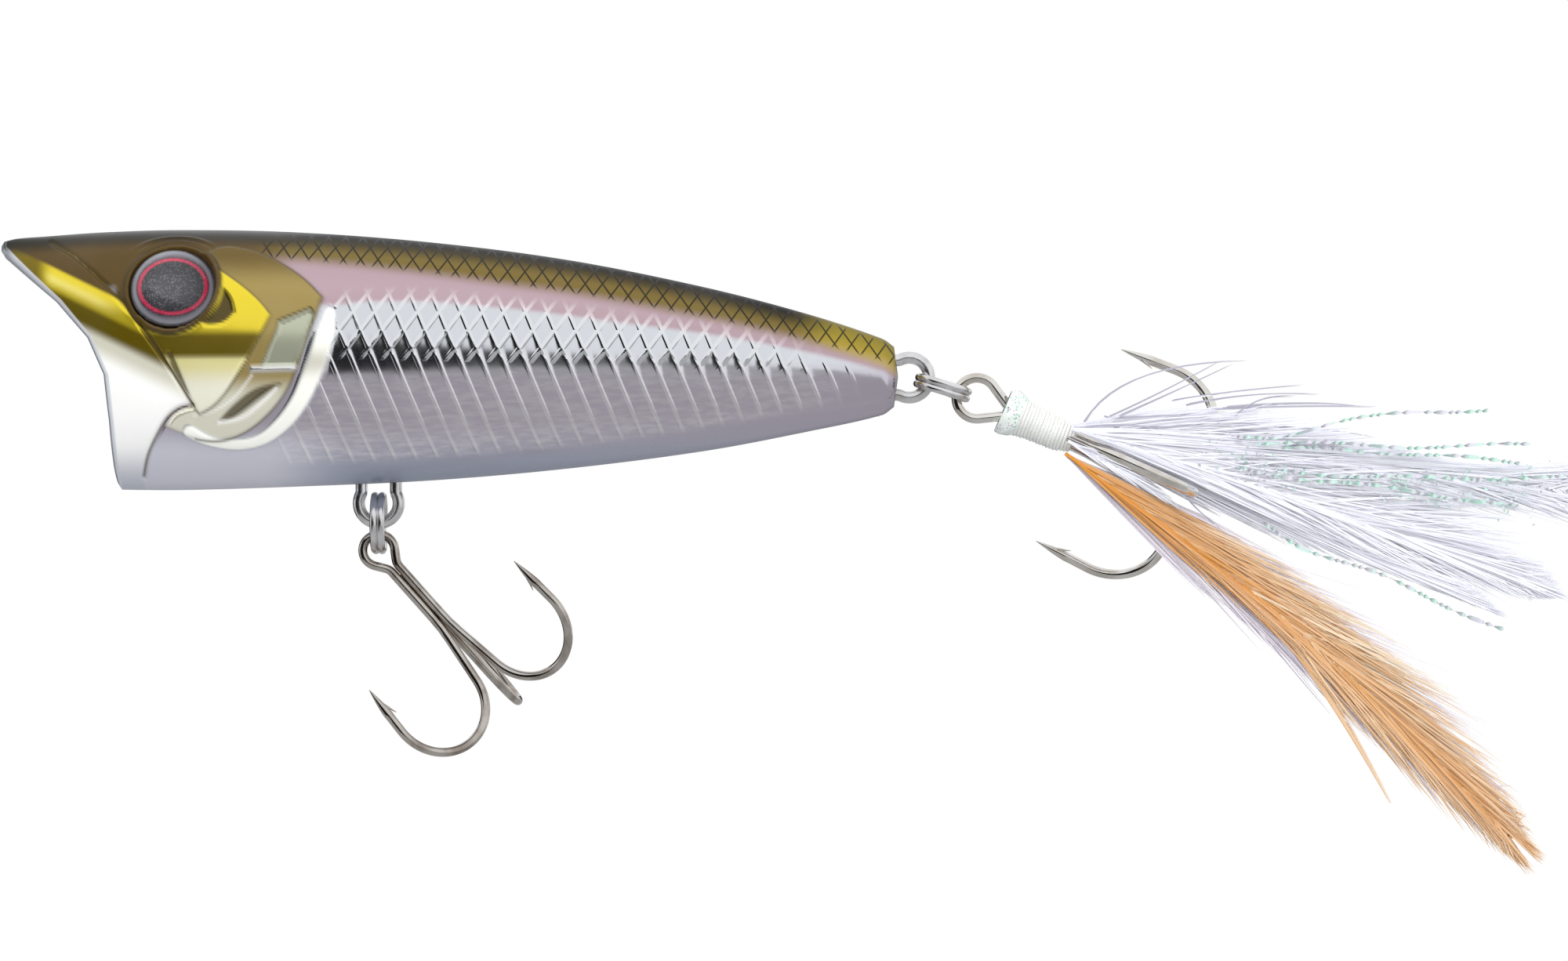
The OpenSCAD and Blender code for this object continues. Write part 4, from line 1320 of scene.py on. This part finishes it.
# Feathers: a quill with rows of fine tapered barbs on each side.
def featherMaterial(name, root, tip, lines):
    material, tree, surface = newMaterial(name)
    share = addNode(tree, "ShaderNodeAttribute", {"attribute_name": "share"}).outputs["Fac"]
    strand = addNode(tree, "ShaderNodeAttribute", {"attribute_name": "strand"}).outputs["Fac"]
    base = addNode(
        tree, "ShaderNodeMix", {"data_type": "RGBA"}, {0: share, 6: linear(root), 7: linear(tip)}
    ).outputs[2]
    shaded = addNode(
        tree, "ShaderNodeMix", {"data_type": "RGBA"},
        {
            0: addNode(
                tree, "ShaderNodeMapRange", {"interpolation_type": "SMOOTHSTEP"},
                {0: strand, 1: 0.2, 2: 1.0, 3: 0.0, 4: 0.5},
            ).outputs[0],
            6: base, 7: linear(lines),
        },
    ).outputs[2]
    tree.links.new(shaded, surface.inputs["Base Color"])
    surface.inputs["Roughness"].default_value = 0.55
    surface.inputs["Sheen Weight"].default_value = 0.35
    surface.inputs["Specular IOR Level"].default_value = 0.25
    return material


# silky, faint lilac between barbs
whiteHackle = featherMaterial("whiteHackleFeather", "EFEFF6", "F9F9FD", "D2D2E2")
# warm dye, paler to the tips
tanHackle = featherMaterial("dyedTanHackleFeather", "DC8C0C", "EFE0C6", "CE861C")
# single fibres, greyer against the light
looseHackle = featherMaterial("looseHackleFibre", "B4B2C0", "CFCDD9", "A19FB0")
paleHackle = featherMaterial("paleHackleFeather", "E4DCE6", "F6F2F8", "C4B9CB")  # undyed down, faintly pink


def dressing(u, across, layer):  # a place on the tail treble: along the shank, across it, and out in y
    return tailEye + shankWay * u + shankUp * across + acrossWay * layer


def barbStrip(points, width, face, out):  # flat tapered ribbon along points
    count = len(points)
    for k, p in enumerate(points):
        ahead = (points[min(k + 1, count - 1)] - points[max(k - 1, 0)]).normalized()
        over = ahead.cross(face).normalized()
        share = k / (count - 1)
        half = width * (1 - share) ** 0.6 * 0.5 + 0.008
        out["points"] += [p - over * half, p + over * half]
        out["share"] += [out["tone"] + (1 - out["tone"]) * share**2 * 0.5] * 2
        out["strand"] += [out["shade"]] * 2
    base = len(out["points"]) - 2 * count
    out["faces"] += [
        (base + 2 * k, base + 2 * k + 1, base + 2 * k + 3, base + 2 * k + 2) for k in range(count - 1)
    ]


def feather(name, f, material, node):
    rng = random.Random(f["seed"])
    root, tip = np.array(f["root"]), np.array(f["tip"])
    way = tip - root
    reach = np.linalg.norm(way)
    way = way / reach
    normal = np.array([-way[1], way[0]])
    out = {"points": [], "faces": [], "share": [], "strand": [], "tone": 0.0, "shade": 0.0}

    def quill(t):
        return root + way * reach * t + normal * f["bow"] * math.sin(math.pi * t)

    def barb(start, knee, end, low, high):
        points = []
        for s in np.linspace(0, 1, 10):
            uv = start * (1 - s) ** 2 + knee * 2 * s * (1 - s) + end * s * s
            points.append(
                dressing(uv[0], uv[1], f["layer"] + f.get("drift", 0) * uv[0] / 50 + low + (high - low) * s)
            )
        barbStrip(points, f["width"] * rng.uniform(0.6, 1.25), acrossWay, out)

    out["shade"] = 0.4
    barbStrip([dressing(*quill(t), f["layer"]) for t in np.linspace(0, 0.8, 26)], 0.3, acrossWay, out)
    for side, edge in ((1, f["upper"]), (-1, f["lower"])):
        for k in range(f["barbs"]):
            t = 0.95 * ((k + rng.random()) / f["barbs"]) ** 1.1
            end = min(t + f["barbReach"] / reach * rng.uniform(0.65, 1.1), rng.uniform(0.94, 1.02))
            wide = float(np.interp(end, edge[0], edge[1]))
            wide *= rng.uniform(0.2, 0.75) if rng.random() < f["core"] else rng.uniform(0.7, 1.04)
            if rng.random() < f["stray"]:
                wide *= 1.3
            low = rng.uniform(-0.4, 0.4)
            out["tone"] = min(1, f["pale"] * wide / 5 + 0.4 * t)
            out["shade"] = rng.random()
            knee = quill(t + 0.45 * (end - t)) + normal * side * wide * rng.uniform(0.45, 0.65)
            barb(quill(t), knee, quill(end) + normal * side * wide, low, low + rng.uniform(-0.8, 0.8))
    for start, knee, end in f.get("split", []) * 9:
        wander = np.array([rng.uniform(-0.25, 0.25), rng.uniform(-0.2, 0.2)])
        out["tone"] = 0.6
        barb(
            np.array(start) + 2 * wander, np.array(knee) + wander, np.array(end) + 0.4 * wander, 0,
            rng.uniform(-0.3, 0.3),
        )
    piece = meshObject(name, [p * mm for p in out["points"]], out["faces"], material)
    for attribute in ("share", "strand"):
        storeValues(piece, attribute, out[attribute])
    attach(piece, "tail_hook")
    if node:
        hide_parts(node)
    return piece


# Edges are half widths in mm at shares of the length, above and below the quill.
feathers = [
    ("whiteHackleUpper", {
        "root": (8.6, 1.2), "tip": (54.4, 14.7), "bow": 0.0, "barbs": 520, "barbReach": 15, "width": 0.2,
        "layer": -1.35,
        "upper": (
            [0, 0.14, 0.24, 0.36, 0.47, 0.59, 0.71, 0.83, 0.9, 1],
            [0.8, 2.2, 3.7, 3.8, 3.2, 2.2, 1.4, 1.2, 2.2, 2.8],
        ),
        "lower": ([0, 0.2, 0.5, 0.8, 0.9, 1], [0.2, 1.0, 2.5, 3.0, 2.6, 2.3]),
        "core": 0.45, "stray": 0.05, "pale": 0.5, "seed": 1,
    }, whiteHackle, "upper_white_feather", "white_feather"),
    ("whiteHackleMiddle", {
        "root": (8.6, 0.9), "tip": (54.0, 5.0), "bow": 0.6, "barbs": 620, "barbReach": 16, "width": 0.2,
        "layer": -1.9,
        "upper": ([0, 0.15, 0.3, 0.6, 0.86, 0.96, 1], [0.3, 1.8, 3.6, 5.2, 4.8, 2.0, 0.3]),
        "lower": ([0, 0.2, 0.5, 0.8, 0.95, 1], [0.2, 0.7, 2.8, 3.0, 1.2, 0.2]),
        "core": 0.4, "stray": 0.03, "pale": 0.5, "seed": 2,
    }, whiteHackle, "middle_white_feather", "white_feather"),
    ("whiteHackleLower", {
        "root": (8.6, 0.2), "tip": (49.3, 1.4), "bow": 0.3, "barbs": 420, "barbReach": 14, "width": 0.2,
        "layer": 1.42,
        "upper": ([0, 0.2, 0.5, 0.8, 0.95, 1], [0.3, 1.5, 2.5, 2.2, 1.2, 0.2]),
        "lower": ([0, 0.25, 0.36, 0.54, 0.72, 1], [0.3, 0.7, 1.7, 1.6, 0.8, 0.2]),
        "core": 0.3, "stray": 0.04, "pale": 0.5, "drift": -4.2, "seed": 3,
    }, whiteHackle, "lower_white_feather", "white_feather"),
    ("tanHackle", {
        "root": (9.0, -1.3), "tip": (60.8, -17.2), "bow": 1.7, "barbs": 620, "barbReach": 17, "width": 0.2,
        "layer": -1.35,
        "upper": (
            [0, 0.16, 0.28, 0.4, 0.52, 0.64, 0.76, 0.88, 1], [0.2, 1.7, 2.4, 4.0, 4.5, 5.3, 5.1, 4.0, 1.2]
        ),
        "lower": (
            [0, 0.2, 0.32, 0.45, 0.53, 0.66, 0.78, 0.87, 1], [0.2, 1.4, 1.8, 1.6, 1.4, 3.0, 3.1, 2.8, 1.3]
        ),
        "split": [((35, -9.0), (40.6, -12.4), (47.5, -17.7))],
        "core": 0.8, "stray": 0.01, "pale": 0.8, "seed": 4,
    }, tanHackle, "tan_feather", "tan_feather"),
    ("paleUnderHackle", {
        "root": (9.2, -1.4), "tip": (58.6, -16.2), "bow": 1.2, "barbs": 330, "barbReach": 17, "width": 0.19,
        "layer": -0.6,
        "upper": (
            [0, 0.16, 0.28, 0.4, 0.52, 0.64, 0.76, 0.88, 1], [0.3, 2.2, 3.0, 4.4, 5.0, 5.8, 5.5, 4.4, 1.2]
        ),
        "lower": ([0, 0.2, 0.32, 0.45, 0.53, 0.66, 0.87, 1], [0.3, 2.0, 2.6, 2.4, 2.2, 2.6, 2.4, 1.0]),
        "core": 0.2, "stray": 0.04, "pale": 0.6, "seed": 6,
    }, paleHackle, "pale_under_feather", "pale_feather"),
    ("whiteHackleTuft", {
        "root": (8.8, -0.2), "tip": (20.0, -1.6), "bow": 0.2, "barbs": 110, "barbReach": 5, "width": 0.18,
        "layer": -1.25,
        "upper": ([0, 0.3, 0.8, 1], [0.5, 0.8, 0.6, 0.1]),
        "lower": ([0, 0.3, 0.8, 1], [0.5, 0.7, 0.5, 0.1]),
        "core": 0.4, "stray": 0.05, "pale": 0.5, "seed": 8,
    }, whiteHackle, None, "white_feather"),
]
for name, values, material, node, finish in feathers:
    feather(name, values, material, node)

# Loose fibres that stand up from the tie.
rng = random.Random(9)
loose = {"points": [], "faces": [], "share": [], "strand": [], "tone": 0.0, "shade": 0.3}
curves = [
    ((9.4, 1.9), (10.2, 8.0), (20.2, 12.6)), ((11.3, 3.3), (14.6, 7.0), (18.2, 11.7)),
    ((12.0, 3.6), (16.0, 8.0), (19.0, 11.6)),
    ((15.7, 6.7), (20.4, 9.9), (25.4, 12.5)), ((19.3, 7.5), (25.9, 10.9), (32.1, 13.4)),
    ((21.5, 8.0), (22.3, 10.4), (25.4, 11.5)),
    ((17.0, 6.9), (22.0, 10.6), (27.0, 12.3)), ((20.3, 8.2), (27.0, 11.9), (31.0, 13.0)),
    ((19.0, 0.4), (21.0, -1.4), (24.5, -1.6)),
]
for k in range(54):
    start, knee, end = curves[k % 9] if k < 18 else ((rng.uniform(9, 24), rng.uniform(2, 8)),) * 3
    if k >= 18:
        start = (start[0], 0.35 * start[0] - 1.5 + rng.uniform(-1, 1))
        length = rng.uniform(5, 11)
        knee = (start[0] + 0.5 * length, start[1] + length * rng.uniform(0.1, 0.3))
        end = (start[0] + length, start[1] + length * rng.uniform(0.2, 0.5))
    start, knee, end = (
        np.array(v) + (0.3 * rng.uniform(-1, 1) if k > 8 else 0) for v in (start, knee, end)
    )
    points = []
    for s in np.linspace(0, 1, 12):
        uv = start * (1 - s) ** 2 + knee * 2 * s * (1 - s) + end * s * s
        points.append(dressing(uv[0], uv[1], -1.2 - 0.8 * math.sin(2 * s + k)))
    loose["shade"] = rng.uniform(0.5, 1.0)
    barbStrip(points, 0.15, acrossWay, loose)
fibres = meshObject("looseFibres", [p * mm for p in loose["points"]], loose["faces"], looseHackle)
for attribute in ("share", "strand"):
    storeValues(fibres, attribute, loose[attribute])
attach(fibres, "tail_hook")
print("feathers")

# Tinsel: narrow strips of pearl film, each twisted along its length.
tinsel = {"width": 0.44, "pitch": 1.9, "layer": -2.75}
strandPaths = [  # u and across, mm
    ([22, 25.9, 29.7, 35.2, 41.2], [6.2, 7.8, 10.9, 14.4, 17.2]),
    ([24, 28.8, 38.8, 45.8], [6.4, 8.4, 12.6, 15.9]),
    ([26, 30.6, 39.1, 45.6], [6.6, 8.8, 11.8, 14.1]),
    ([27, 30.7, 38.3, 44.3, 50.2], [0.2, -0.4, 0.1, 0.1, 0.1]),
    ([27, 33.3, 45.5, 50.0], [5.2, 7.2, 12.6, 14.6]),
    ([23, 30, 38, 47], [3.6, 5.4, 8.0, 10.5]),
]
# clear film with a mint and pink lustre that changes as it turns
pearl, tree, surface = newMaterial("pearlFilmTinsel")
place = addNode(tree, "ShaderNodeTexCoord").outputs["Object"]
speck = addNode(
    tree, "ShaderNodeTexNoise", {}, {"Vector": place, "Scale": 1 / (1.111 * mm), "Detail": 2.0}
).outputs[0]
tree.links.new(
    addNode(
        tree, "ShaderNodeMix", {"data_type": "RGBA"},
        {
            0: addNode(
                tree, "ShaderNodeMapRange", {"interpolation_type": "SMOOTHSTEP"}, {0: speck, 1: 0.4, 2: 0.6}
            ).outputs[0],
            6: linear("BFE3D5"), 7: linear("D6D4DE"),
        },
    ).outputs[2],
    surface.inputs["Base Color"],
)
surface.inputs["Metallic"].default_value = 0.15
surface.inputs["Roughness"].default_value = 0.16
points, faces = [], []
for index, (us, vs) in enumerate(strandPaths):
    count = 260
    u = np.linspace(us[0], us[-1], count)
    v = np.interp(u, us, vs)
    v[24:-24] = np.convolve(v, np.ones(49) / 49, "valid")
    base = len(points)
    for k in range(count):
        wander = 0.18 * math.sin(0.45 * u[k] + index)
        p = dressing(u[k], v[k] + wander, tinsel["layer"] + 0.25 * math.sin(0.17 * u[k] + index))
        twist = u[k] + 0.5 * math.sin(0.8 * u[k] + index) + 0.2 * math.sin(3.1 * u[k])
        turn = 2 * math.pi * twist / tinsel["pitch"] + index
        over = (math.cos(turn) * (shankUp * 0.9) + math.sin(turn) * acrossWay) * tinsel["width"] / 2
        points += [p - over, p + over]
    faces += [
        (base + 2 * k, base + 2 * k + 1, base + 2 * k + 3, base + 2 * k + 2) for k in range(count - 1)
    ]
rng = random.Random(12)
for k in range(260):  # glints where the strands crease inside the feathers
    us, vs = strandPaths[4 + k % 2]
    u = rng.choice((rng.uniform(20, 30), rng.uniform(33, 49), rng.uniform(36, 47)))
    v = float(np.interp(u, us, vs)) + rng.gauss(0, 0.7)
    size = rng.uniform(0.08, 0.2)
    turn = rng.uniform(0, 3)
    a = (shankWay * math.cos(turn) + shankUp * math.sin(turn)) * size
    b = (
        shankUp * math.cos(turn) - shankWay * math.sin(turn)
    ) * size * 0.6 + acrossWay * rng.uniform(-0.1, 0.1)
    p = dressing(u, v, tinsel["layer"] - rng.uniform(0, 0.3))
    base = len(points)
    points += [p - a, p + b, p + a, p - b]
    faces.append((base, base + 1, base + 2, base + 3))
strands = meshObject("pearlTinsel", [p * mm for p in points], faces, pearl)
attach(strands, "tail_hook")
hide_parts("tinsel_strands")
print("tinsel")

# Plain pale floor, well below the hanging lure.
floorMaterial, tree, surface = newMaterial("matteWhitePaper")  # flat and pale, with no shine
place = addNode(tree, "ShaderNodeTexCoord").outputs["Object"]
tree.links.new(
    addNode(
        tree, "ShaderNodeMix", {"data_type": "RGBA"},
        {
            0: addNode(
                tree, "ShaderNodeTexNoise", {}, {"Vector": place, "Scale": 1 / (16.67 * mm), "Detail": 3.0}
            ).outputs[0],
            6: linear("C4C6CB"), 7: linear("CDCFD4"),
        },
    ).outputs[2],
    surface.inputs["Base Color"],
)
surface.inputs["Roughness"].default_value = 0.8
ringPoints = [
    vec(0.055 + 0.5 * math.cos(2 * math.pi * k / 96), 0.5 * math.sin(2 * math.pi * k / 96), -0.4)
    for k in range(96)
]
floor = meshObject("paperFloor", ringPoints, [tuple(range(96))], floorMaterial)
floor.visible_glossy = False
